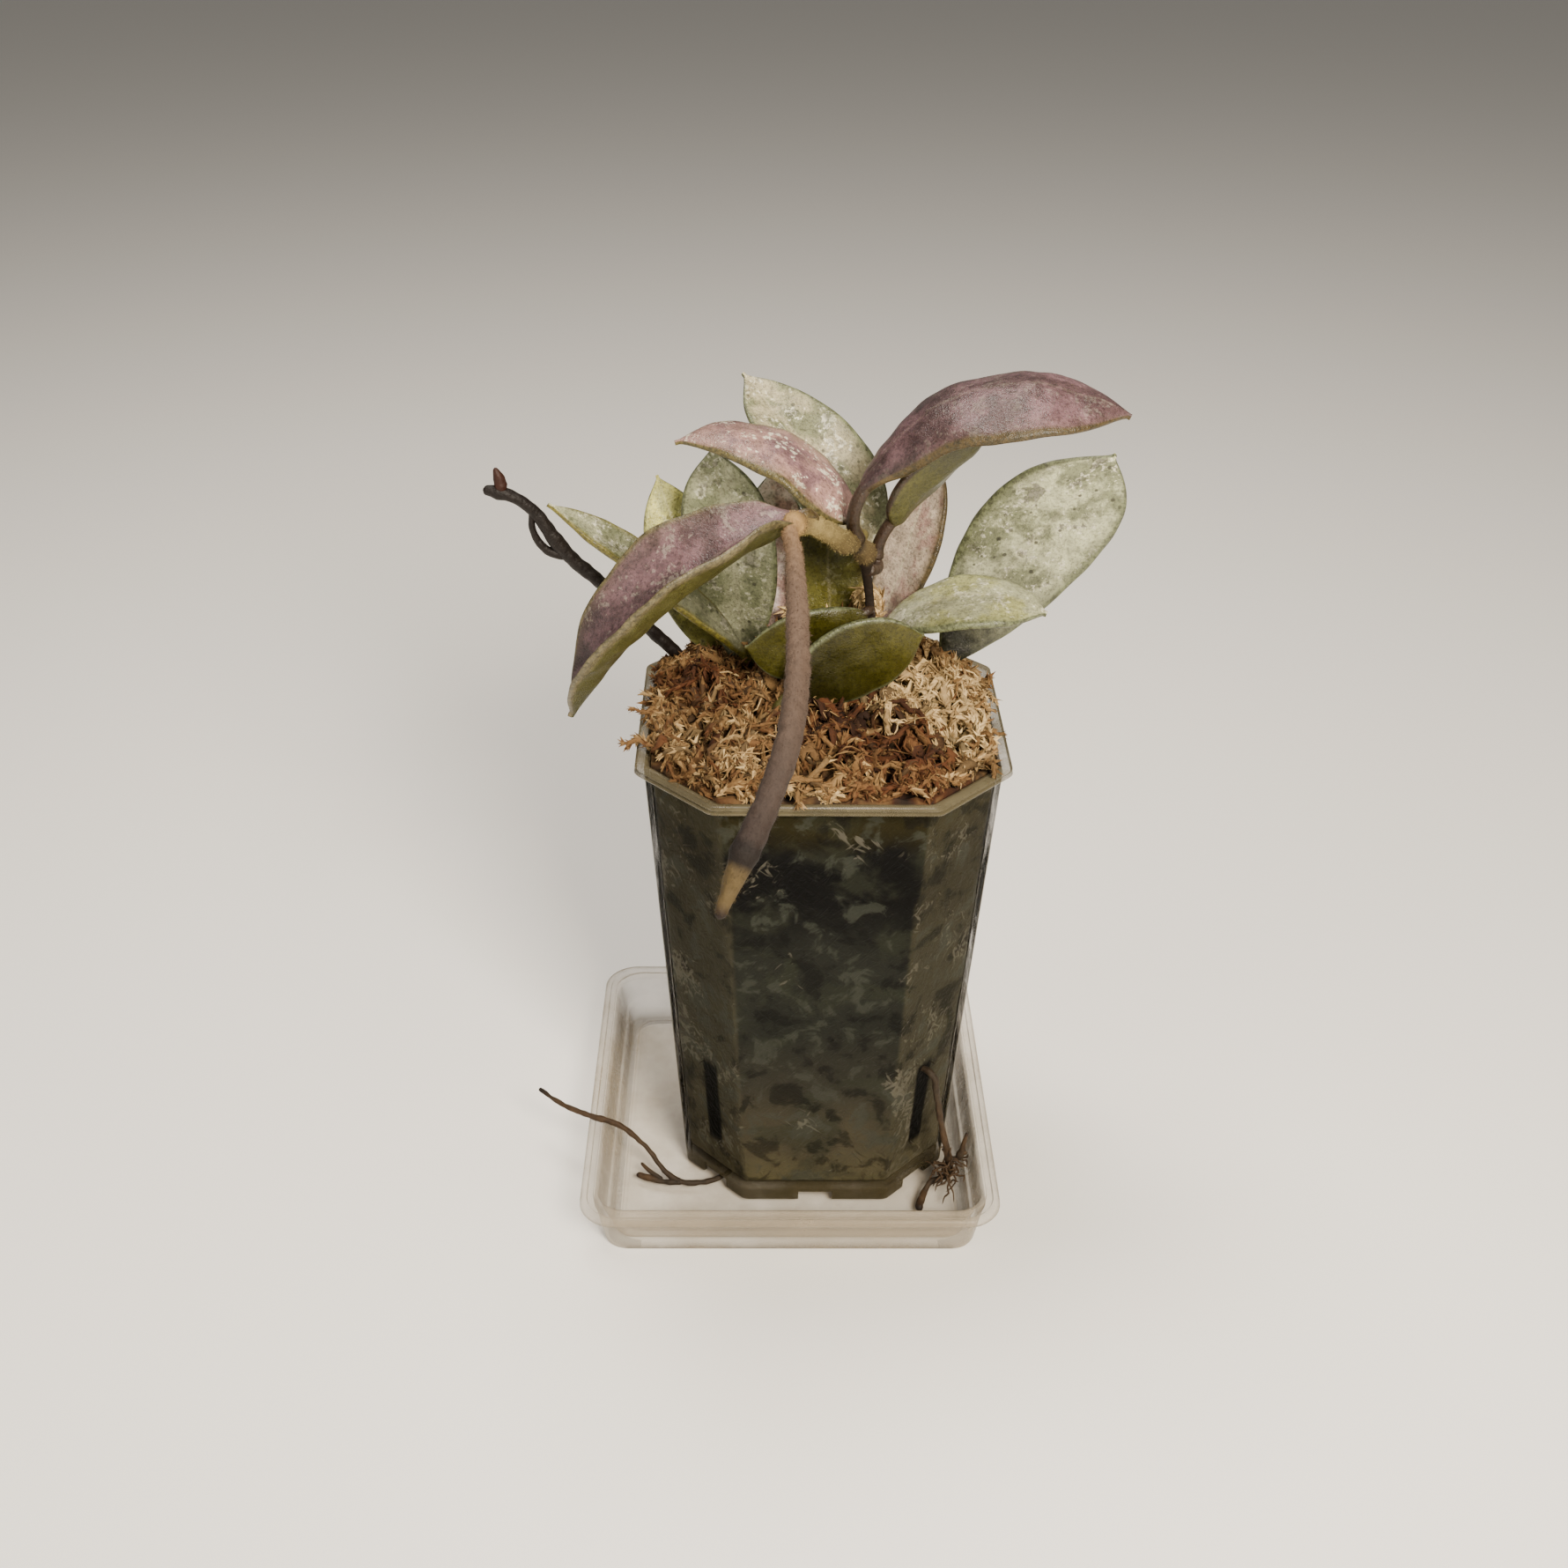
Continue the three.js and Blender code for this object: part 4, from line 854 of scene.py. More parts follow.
def wet_moss_skin(colours, top=0.105):
    """Soaked sphagnum behind the wall: nearly black, with bands by height, blotches of 13 mm and
    7 mm, and pale strands of 2 by 6 mm pressed flat. Behind the cut corners it is lighter and shows
    more of them, a painted sheen of the plastic's cut corners; a line near the slots' tops shows more
    of them, and it is black at the slots. The bands' heights are shares of top, in metres."""
    material, tree, where = new_material("wet sphagnum")
    corner, slot = (
        add(tree, "ShaderNodeAttribute", attribute_name=key).outputs["Fac"]
        for key in ("corner", "slot")
    )
    height = add(tree, "ShaderNodeSeparateXYZ", {"Vector": where}).outputs["Z"]
    blotch, flecks = (
        add(tree, "ShaderNodeTexNoise", {
            "Vector": where, "Scale": scale, "Detail": 4, "Roughness": 0.6, "Distortion": bent,
        }).outputs["Fac"]
        for scale, bent in ((75, 0.6), (150, 0.5))
    )
    wander = add(tree, "ShaderNodeMapRange", {
        "Value": blotch, "To Min": -0.008, "To Max": 0.008,
    }).outputs["Result"]
    level = add(tree, "ShaderNodeMath", {0: height, 1: wander}, operation="ADD").outputs[0]
    share = add(tree, "ShaderNodeMath", {0: level, 1: top}, operation="DIVIDE").outputs[0]
    bands = add(tree, "ShaderNodeValToRGB", {"Fac": share}, stops=(
        (0.0, linear("#4a4530")), (0.14, linear("#3a362a")), (0.3, linear("#26251f")),
        (0.44, colours["wet"]), (0.62, colours["wet"]),
        (0.74, colours["wet_black"]), (0.86, colours["wet_black"]),
        (0.905, colours["wet_olive"]), (1, colours["wet_olive"]),
    )).outputs["Color"]
    strokes = []
    for lean in (0.75, -0.75):
        turned = add(tree, "ShaderNodeMapping", {
            "Vector": where, "Rotation": (0, lean, 0), "Scale": (1, 1, 3.2),
        }, vector_type="TEXTURE").outputs["Vector"]
        strokes.append(add(tree, "ShaderNodeTexNoise", {
            "Vector": turned, "Scale": 560, "Detail": 3, "Roughness": 0.55, "Distortion": 1.6,
        }).outputs["Fac"])
    strands = add(tree, "ShaderNodeMath", {0: strokes[0], 1: strokes[1]}, operation="MAXIMUM").outputs[0]
    clumps = add(tree, "ShaderNodeTexNoise", {"Vector": where, "Scale": 70, "Detail": 2}).outputs["Fac"]
    # More pale strands behind the cut corners: part of the painted sheen of the plastic's cut corners.
    edge = add(tree, "ShaderNodeMapRange", {
        "Value": corner, "To Min": -0.03, "To Max": 0.09,
    }).outputs["Result"]
    line = add(tree, "ShaderNodeValToRGB", {"Fac": share}, stops=(
        (0.3, (0, 0, 0, 1)), (0.335, (0.08, 0.08, 0.08, 1)), (0.37, (0, 0, 0, 1)),
    )).outputs["Color"]
    edge = add(tree, "ShaderNodeMath", {0: edge, 1: line}, operation="ADD").outputs[0]
    clumped = add(tree, "ShaderNodeMath", {0: clumps, 1: edge}, operation="ADD").outputs[0]
    product = add(tree, "ShaderNodeMath", {0: strands, 1: clumped}, operation="MULTIPLY").outputs[0]
    layers = [
        (add(tree, "ShaderNodeMapRange", {
            "Value": value, "From Min": low, "From Max": high, "To Max": most,
        }, interpolation_type="SMOOTHSTEP").outputs["Result"], colour)
        for value, low, high, most, colour in (
            (blotch, 0.48, 0.6, 0.5, linear("#26281f")),
            # Lighter behind the cut corners: painted sheen of the plastic's cut corners.
            (corner, 0, 1, 0.5, linear("#393629")),
            (flecks, 0.54, 0.62, 0.6, linear("#32342d")),
            (flecks, 0.47, 0.38, 0.6, colours["wet_black"]),
            (product, 0.365, 0.425, 0.5, colours["wet_pale"]),
            (slot, 0, 1, 1, linear("#070706")),
        )
    ]
    finish_material(tree, {
        "Base Color": covered(tree, bands, layers), "Roughness": 0.6, "Specular IOR Level": 0.04,
    }, strands, distance=0.0005)
    return material


def clear_plastic(name, colours, roughness, facing, dense, shine, lip_at=1.0, foot_at=-1.0):
    """Thin moulded polypropylene: see-through face on and denser towards its edges, with faint
    flow marks over 17 mm. Above lip_at and below foot_at, in metres, it is thick and cloudy all
    over. colours are its own, its edges' and its foot's, facing is how far it must turn away to
    start and end thickening, dense its least and greatest cover, and shine how far its walls
    reflect."""
    colour, edge_colour, foot_colour = colours
    material, tree, where = new_material(name)
    edge = add(tree, "ShaderNodeLayerWeight", {"Blend": 0.25}).outputs["Facing"]
    haze = add(tree, "ShaderNodeTexNoise", {
        "Vector": where, "Scale": 60, "Detail": 5, "Roughness": 0.7,
    }).outputs["Fac"]
    height = add(tree, "ShaderNodeSeparateXYZ", {"Vector": where}).outputs["Z"]
    lip = add(tree, "ShaderNodeMapRange", {
        "Value": height, "From Min": lip_at, "From Max": lip_at + 0.0004,
    }).outputs["Result"]
    foot = add(tree, "ShaderNodeMapRange", {
        "Value": height, "From Min": foot_at, "From Max": foot_at - 0.0015,
    }).outputs["Result"]
    body = add(tree, "ShaderNodeMapRange", {
        "Value": edge, "From Min": facing[0], "From Max": facing[1],
        "To Min": dense[0], "To Max": dense[1],
    }, interpolation_type="SMOOTHSTEP").outputs["Result"]
    turned = add(tree, "ShaderNodeMapRange", {
        "Value": edge, "From Min": facing[0], "From Max": facing[1],
    }).outputs["Result"]
    shown = covered(tree, colour, ((turned, edge_colour), (lip, colour), (foot, foot_colour)))
    for share, cover in ((lip, 0.75), (foot, 0.7)):
        body = add(tree, "ShaderNodeMath", {
            0: share, 1: cover, 2: body,
        }, operation="MULTIPLY_ADD").outputs[0]
    gloss = add(tree, "ShaderNodeMapRange", {
        "Value": lip, "To Min": shine, "To Max": 0.5,
    }).outputs["Result"]
    cloudy = add(tree, "ShaderNodeMapRange", {
        "Value": haze, "From Min": 0.35, "From Max": 0.7, "To Min": 0.7, "To Max": 1.4,
    }).outputs["Result"]
    alpha = add(tree, "ShaderNodeMath", {0: body, 1: cloudy}, operation="MULTIPLY").outputs[0]
    dull = add(tree, "ShaderNodeMapRange", {
        "Value": haze, "From Min": 0.3, "From Max": 0.7,
        "To Min": 0.7 * roughness, "To Max": 1.4 * roughness,
    }).outputs["Result"]
    finish_material(tree, {
        "Base Color": shown, "Roughness": dull, "IOR": 1.49, "Alpha": alpha,
        "Specular IOR Level": gloss,
    }, haze, distance=0.0001, strength=0.4)
    return material


# ---- Leaves ---------------------------------------------------------------------------------


def leaf_rings(spec, settings, seed):
    """Rings along a petiole and blade. The petiole follows a quadratic Bezier curve. The midrib is
    base + chord s + bend 4s(1 - s), and the half width is s^p (1 - s)^q, scaled to be 1 at broad,
    with the tip drawn out by 1 - s^16. Across, a ring is an ellipse with blunt margins, bent by
    the cup: side u + up (thickness sin a + |u|^1.5 sin cup). A narrow bell at u = 0 is the
    midrib's groove, and smooth noise of 17 mm and 6 mm swells the flesh."""
    base, tip, foot, face = (np.array(spec[key], float) for key in ("base", "tip", "foot", "face"))
    chord = tip - base
    axis = unit(chord)
    face = unit(face - axis * (face @ axis))
    bend = face * spec["arch"] + np.cross(face, axis) * spec["sway"]
    way = np.linspace(0.03, 1, settings.rows)
    s = 0.998 * np.sin(np.pi / 2 * way) ** 2
    blade = base + chord * s[:, None] + bend * (4 * s * (1 - s))[:, None]
    blade_way = unit(chord + bend * (4 * (1 - 2 * s))[:, None])
    t = np.linspace(0, 1, PETIOLE_RINGS, endpoint=False)[:, None]
    elbow = base - unit(chord + bend * 4) * (0.5 * np.linalg.norm(base - foot))
    stalk = foot * (1 - t) ** 2 + elbow * 2 * t * (1 - t) + base * t ** 2
    stalk_way = unit((elbow - foot) * (1 - t) + (base - elbow) * t)

    centres = np.vstack([stalk, blade])
    along = np.vstack([stalk_way, blade_way])
    place_on_leaf = np.concatenate([t[:, 0] - 1, s])
    flat = unit(np.cross(face, along))
    rise = np.cross(along, flat)
    turn = np.radians(spec["twist"]) * np.concatenate([-0.5 * t[:, 0], s - 0.5])
    side = flat * np.cos(turn)[:, None] + rise * np.sin(turn)[:, None]
    up = rise * np.cos(turn)[:, None] - flat * np.sin(turn)[:, None]

    p, q = FULLNESS * spec["broad"], FULLNESS * (1 - spec["broad"])
    shape = s ** p * (1 - s) ** q / (spec["broad"] ** p * (1 - spec["broad"]) ** q)
    half = spec.get("thick", HALF_THICKNESS)
    t = t[:, 0]
    knee = spec["petiole"] * (1 + 0.3 * np.exp(-(t / 0.16) ** 2))
    neck = spec["petiole"] * (1 - ease(s, 0.02, 0.14))
    width = np.sqrt((spec["width"] / 2 * shape * (1 - s ** 16)) ** 2 + neck ** 2)
    width = np.concatenate([knee, np.maximum(width, 0.3 * half)])
    grown = spec["petiole"] + (half - spec["petiole"]) * ease(s, 0, 0.12)
    height = np.concatenate([knee, grown * np.minimum(1, 0.4 + 2.4 * (1 - s))])
    cup = np.radians(spec["cup"]) * np.concatenate([0 * t, ease(s, 0, 0.1)])

    a = (np.arange(settings.sides) + 0.5) * 2 * np.pi / settings.sides
    u = np.cos(a)
    blunt = 1 - 0.45 * ease(place_on_leaf, 0.01, 0.1)[:, None]
    v = np.sign(np.sin(a)) * np.abs(np.sin(a)) ** blunt
    on_blade = ease(place_on_leaf, 0.02, 0.12) * (1 - ease(place_on_leaf, 0.8, 0.99))
    crease = np.exp(-(u / 0.07) ** 2) * np.where(np.sin(a) > 0, -1, -0.7)
    lift = height[:, None] * v + settings.groove / MM * on_blade[:, None] * crease
    lift += np.abs(u) ** 1.5 * (width * np.sin(cup))[:, None]
    reach = (width * np.cos(cup))[:, None] * u
    points = centres[:, None] + side[:, None] * reach[..., None] + up[:, None] * lift[..., None]
    swell = waves(points, 17, seed) + 0.45 * waves(points, 6, seed + 1)
    swell *= settings.swell / MM * on_blade[:, None]
    points = points + up[:, None] * swell[..., None]
    values = {
        "along": np.repeat(place_on_leaf, settings.sides),
        "across": np.tile(u, len(centres)),
        "facing": np.tile(np.sin(a), len(centres)),
    }
    return points, values


def capped(values, rings, sides):
    """Values for a tube's points, with its two middle points taking the first and last ring's."""
    return {
        key: np.concatenate([value, [value[0], value[(rings - 1) * sides]]])
        for key, value in values.items()
    }


class HOYA_OT_leaves(bpy.types.Operator):
    """Every leaf, with its petiole, cup, twist and its own skin"""

    bl_idname = "hoya.leaves"
    bl_label = "Leaves"

    def execute(self, context):
        settings = context.scene.hoya_leaves
        slots = {part["node"]: part["material_slot"] for part in frame["record"]["subparts"]}
        colours = palette(settings)
        for seed, (name, spec) in enumerate(LEAVES.items()):
            rings, values = leaf_rings(spec, settings, 10 * seed + 3)
            values = capped(values, len(rings), settings.sides)
            mesh = make_mesh(f"{name}_blade", *tubes(rings[None]), values)
            place(mesh, leaf_skin(name, LEAF_LOOKS[name], colours), slots[name], name)
        return {"FINISHED"}


# ---- Stems and roots ------------------------------------------------------------------------


def stems(routes, step, sides, lumpiness, seed):
    """Several routes as one mesh's arrays, with how far along its own route each point is."""
    parts, along = [], []
    for k, route in enumerate(routes):
        rings, *_ = stem_rings(route, step, sides, lumpiness, seed + k)
        parts.append(tubes(rings[None]))
        share = np.repeat(np.linspace(0, 1, len(rings)), sides)
        along.append(np.concatenate([share, [0, 1]]))
    points, quads, fans = joined(parts)
    return points, quads, fans, np.concatenate(along)


class HOYA_OT_vine(bpy.types.Operator):
    """The live stem with its swollen nodes and short hairs"""

    bl_idname = "hoya.vine"
    bl_label = "Vine"

    def execute(self, context):
        settings = context.scene.hoya_stems
        rings, centres, ways, out, spans = stem_rings(
            VINE, step=0.35, sides=26, lumpiness=0.05, seed=21,
        )
        last = len(VINE) - 1
        for spot, width, swell in VINE_KNOBS:
            ring = 1 + swell * np.exp(-((spans - spot) / width) ** 2)
            rings = centres[:, None] + (rings - centres[:, None]) * ring[:, None, None]
        bark, fur = (
            [(spot / last, linear(code)) for spot, code in bands] for bands in (VINE_BARK, VINE_FUR)
        )
        along = np.repeat(spans / last, rings.shape[1])
        values = capped({"along": along}, len(rings), rings.shape[1])
        stem = make_mesh("vine_stem", *tubes(rings[None]), values)
        skin = banded_skin("hairy green bark", bark, dull=0.75, relief=0.0004)
        place(stem, skin, "hairy_stem", "vine")

        random = np.random.default_rng(5)
        rows = np.flatnonzero(spans > LOWEST_HAIR)[:-2]
        weight = np.linalg.norm(rings[rows, 0] - centres[rows], axis=1)
        row = random.choice(rows, settings.hairs, p=weight / weight.sum())
        column = random.integers(0, rings.shape[1], settings.hairs)
        feet = rings[row, column] + random.normal(0, 0.1, (settings.hairs, 3))
        lean = unit(out[row, column] + 0.45 * ways[row] + random.normal(0, 0.35, feet.shape))
        length = settings.hair_length / MM * random.uniform(0.45, 1, settings.hairs)
        tips = feet + lean * length[:, None]
        sideways = unit(np.cross(lean, ways[row]))
        points, fans = spikes(feet, tips, sideways, ways[row], np.full(settings.hairs, HAIR_WIDTH))
        values = {"along": np.repeat(spans[row] / last, 4)}
        hair = make_mesh("vine_hairs", points, [], fans, values, smooth=False)
        skin = banded_skin("stem hairs", fur, dull=0.8, relief=0.0001, patch=0.1)
        place(hair, skin, "hairy_stem")
        return {"FINISHED"}


class HOYA_OT_bare_shoot(bpy.types.Operator):
    """The dry dark shoot with its loop and bud"""

    bl_idname = "hoya.bare_shoot"
    bl_label = "Bare shoot"

    def execute(self, context):
        colours = palette(context.scene.hoya_stems)
        shoot = stems([BARE_SHOOT, SHOOT_LOOP], step=0.3, sides=20, lumpiness=0.045, seed=31)
        bud = stems([BUD], step=0.2, sides=16, lumpiness=0.05, seed=35)
        along = np.concatenate([0.5 * shoot[3], 0.9 + 0.1 * bud[3]])
        bark = banded_skin("dry bark", [
            (0, colours["bark"]), (0.5, colours["bark"]), (0.88, colours["bud"]), (1, colours["bud"]),
        ], dull=0.55, relief=0.0004, patch=0.6)
        mesh = make_mesh("bare_shoot_bark", *joined([shoot[:3], bud[:3]]), {"along": along})
        place(mesh, bark, "dark_stem", "bare_shoot")
        return {"FINISHED"}


class HOYA_OT_roots(bpy.types.Operator):
    """The roots that leave the pot, with their fine side roots"""

    bl_idname = "hoya.roots"
    bl_label = "Roots"

    def execute(self, context):
        colours = palette(context.scene.hoya_stems)
        bark = banded_skin("root skin", [
            (0, linear("#221a10")), (0.45, linear("#2f2519")), (0.7, colours["root"]),
            (0.9, colours["root"]), (1, colours["root_tip"]),
        ], dull=0.7, relief=0.0004, patch=0.7)
        *left, left_along = stems(ROOT_LEFT, step=0.35, sides=16, lumpiness=0.13, seed=41)
        *right, right_along = stems(ROOT_RIGHT, step=0.35, sides=16, lumpiness=0.13, seed=41)
        *thin, thin_along = stems(self.rootlets(), step=0.5, sides=6, lumpiness=0.1, seed=51)
        along = np.concatenate([right_along, 0.75 + 0.12 * thin_along])
        for name, parts, values in (
            ("root_left", left, left_along), ("root_right", joined([right, thin]), along),
        ):
            mesh = make_mesh(f"{name}_skin", *parts, {"along": values})
            place(mesh, bark, "root_skin", name)
        return {"FINISHED"}

    def rootlets(self):
        """Random short routes that leave the right root forwards and down, above the saucer's
        floor and inside its wall."""
        random = np.random.default_rng(9)
        routes = []
        for _ in range(ROOTLETS):
            start = ROOTLET_START + random.normal(0, ROOTLET_SPREAD)
            way = unit(random.normal(0, 1, 3) * (1, 0.6, 1) + (0.1, -0.5, -0.6))
            drift = np.cumsum(random.normal(0, 0.5, (5, 3)) + way * 1.1, axis=0)
            route = np.vstack([start, start + drift])
            route[:, 2] = np.clip(route[:, 2], 1.6, None)
            route[:, 0] = np.clip(route[:, 0], 24, 37)
            routes.append([(*point, radius) for point, radius in zip(route, ROOTLET_RADII)])
        return routes


# ---- Moss -----------------------------------------------------------------------------------


def wall_at(z):
    """How far the pot's flat sides stand from its middle at height z, and their corner cut."""
    t = (np.asarray(z, float) - POT_FOOT) / (POT_SHOULDER - POT_FOOT)
    return POT_BASE + (POT_MOUTH - POT_BASE) * t, POT_BASE_CUT + (POT_MOUTH_CUT - POT_BASE_CUT) * t


def wall_reach(angle, z, inset):
    """How far the pot's wall, moved in by inset, is from its middle in the direction of angle:
    the nearer of its flat side, flat / max(|cos|, |sin|), and its cut corner."""
    half, leg = wall_at(z)
    flat = half - inset
    cut = 2 * flat - leg + inset * (2 - np.sqrt(2))
    cos, sin = np.abs(np.cos(angle)), np.abs(np.sin(angle))
    return np.minimum(flat / np.maximum(cos, sin), cut / (cos + sin))


def heap(x, y):
    """How far the loose moss heaps up or sinks at a place: smooth noise of 10 mm and 4 mm."""
    spots = np.stack([x, y, 0 * x], -1)
    return 1.5 * waves(spots, 10, 81) + 0.6 * waves(spots, 4, 82)


def moss_height(x, y, share):
    """The mound's height: its edge, a dome of 1 - share^3.2, and lumps from crossed sine waves that
    flatten towards the wall, with the heaps of loose moss inside a share of about 0.85. Loose moss
    lies 0.9 mm higher against the wall."""
    coarse = np.sin(0.62 * x + 0.25 * y + 1) * np.sin(0.55 * y - 0.2 * x)
    fine = np.sin(1.25 * x - 0.7 * y + 2) * np.sin(1.1 * y + 0.5 * x + 0.6)
    lumps = 0.55 * coarse + 0.45 * fine
    mound = MOSS_EDGE + MOSS_MOUND * (1 - share ** 3.2) + 1.3 * lumps * (1 - 0.4 * share)
    return mound + heap(x, y) * (1 - ease(share, 0.8, 1)) + 0.9 * ease(share, 0.6, 0.95)


def share_out(x, y):
    """How far out a point is, from 0 in the pot's middle to 1 at the moss's edge."""
    dx, dy = x - POT_CENTRE[0], y - POT_CENTRE[1]
    return np.hypot(dx, dy) / wall_reach(np.arctan2(dy, dx), MOSS_EDGE, MOSS_INSET)


def from_pot(angle, reach):
    """The x and y of a point that stands reach from the pot's middle in the direction of angle."""
    return POT_CENTRE[0] + reach * np.cos(angle), POT_CENTRE[1] + reach * np.sin(angle)


def moss_shade(x, y, random):
    """A strand's shade from 0, rust and dark, to 1, straw: smooth hills at the pale patches, and
    hollows at the rusty ones and at the painted shade under the leaves, with noise."""
    shade = np.full(x.shape, 0.56)
    for cx, cy, reach, change in MOSS_PATCHES:
        shade += change * np.exp(-((x - cx) ** 2 + (y - cy) ** 2) / reach ** 2)
    return np.clip(shade + random.normal(0, 0.1, x.shape), 0.12, 1)


def moss_painted_shade_and_wet(x, y, random):
    """How far a strand is darkened, from 0 on the heaps to 0.75 in the hollows between them and
    under the low leaf: painted shade, with the darker wet moss below."""
    cx, cy, reach, change = MOSS_PAINTED_SHADE_UNDER_LEAF
    hollow = change * np.exp(-((x - cx) ** 2 + (y - cy) ** 2) / reach ** 2)
    return np.clip(0.27 - 0.34 * heap(x, y) + hollow + random.normal(0, 0.12, x.shape), 0, 0.75)


def moss_spots(count, random, most):
    """Random places spread evenly over the mound, as x and y, up to a share of most out."""
    angle = random.uniform(0, 2 * np.pi, count)
    share = most * np.sqrt(random.uniform(0, 1, count))
    return from_pot(angle, wall_reach(angle, MOSS_EDGE, MOSS_INSET) * share)


def scattered(count, random, most, length, width, thickness, lift, curl):
    """Strands at random places and headings over the mound, and those places. Each measure is
    drawn between the two values of its pair, and curl is the spread of how far strands turn."""
    x, y = moss_spots(count, random, most)
    heading = random.uniform(0, 2 * np.pi, count)
    measures = [random.uniform(*pair, count) for pair in (length, width, thickness, lift)]
    turns = random.normal(0, curl, count)
    return strand_bundle(x, y, heading, *measures, turns, random), x, y


def strand_bundle(
    x, y, heading, length, width, thickness, lift, curl, random, keep_in=True, rings=7,
):
    """Bent strands that lie on the mound, all at once. Each runs on by equal steps whose heading
    turns steadily and wavers. Its height is the mound's, plus lift sin(pi t)."""
    count = len(x)
    t = np.linspace(0, 1, rings)
    waver = random.normal(0, 0.5, (count, rings)).cumsum(1)
    angle = heading[:, None] + curl[:, None] * t + waver
    step = (length / (rings - 1))[:, None]
    px = x[:, None] + (np.cos(angle) * step).cumsum(1)
    py = y[:, None] + (np.sin(angle) * step).cumsum(1)
    share = share_out(px, py)
    if keep_in:
        pull = np.minimum(1, 0.975 / np.maximum(share, 1e-6))
        px = POT_CENTRE[0] + (px - POT_CENTRE[0]) * pull
        py = POT_CENTRE[1] + (py - POT_CENTRE[1]) * pull
        share = share * pull
    ground = moss_height(px, py, np.minimum(share, 1))
    bob = random.normal(0, 0.22, (count, rings)).cumsum(1)
    pz = ground + lift[:, None] * np.sin(np.pi * (0.08 + 0.9 * t)) + bob
    return clothed(np.stack([px, py, pz], -1), width, thickness, random)


def clothed(centres, width, thickness, random, sides=6):
    """Ragged flat tubes round the strands' middles. Half width and half thickness are the most at
    the middle, sin(pi t)^0.7, and each strand rolls as it goes."""
    count, rings, _ = centres.shape
    t = np.linspace(0, 1, rings)
    along = unit(np.gradient(centres, axis=1))
    level = unit(np.cross(along, np.array([0.02, 0.03, 1.0])))
    raised = np.cross(level, along)
    roll = random.uniform(-1.2, 1.2, (count, 1)) + random.normal(0, 0.8, (count, 1)) * t
    flat = level * np.cos(roll)[..., None] + raised * np.sin(roll)[..., None]
    proud = raised * np.cos(roll)[..., None] - level * np.sin(roll)[..., None]
    swell = np.sin(np.pi * (0.06 + 0.9 * t)) ** 0.7
    a = (np.arange(sides) + 0.5) * 2 * np.pi / sides
    ragged = random.uniform(0.6, 1.3, (count, rings, sides))
    across = (width[:, None, None] * swell[:, None] * ragged * np.cos(a))[..., None]
    through = (thickness[:, None, None] * swell[:, None] * ragged * np.sin(a))[..., None]
    bundle = centres[:, :, None] + flat[:, :, None] * across + proud[:, :, None] * through
    return bundle, centres, along


def leaflets(bundle, centres, along, shade, each, size, random):
    """Scale-like leaflets: pyramids with their feet on random points of the strands, leaning out
    and forwards."""
    count, rings, sides, _ = bundle.shape
    total = count * each
    strand = np.repeat(np.arange(count), each)
    ring = random.integers(0, rings - 1, total)
    side = random.integers(0, sides, total)
    feet = bundle[strand, ring, side]
    out = unit(feet - centres[strand, ring])
    forwards = along[strand, ring]
    length = size * random.uniform(0.6, 1.3, total)[:, None]
    tips = feet + length * unit(0.42 * out + 0.85 * forwards + random.normal(0, 0.22, feet.shape))
    sideways = unit(np.cross(out, forwards))
    points, fans = spikes(feet - 0.1 * out, tips, sideways, forwards, 0.5 * length[:, 0])
    tone = np.clip(shade[strand] + random.normal(0, 0.07, total), 0.08, 1)
    return points, fans, np.repeat(tone, 4)


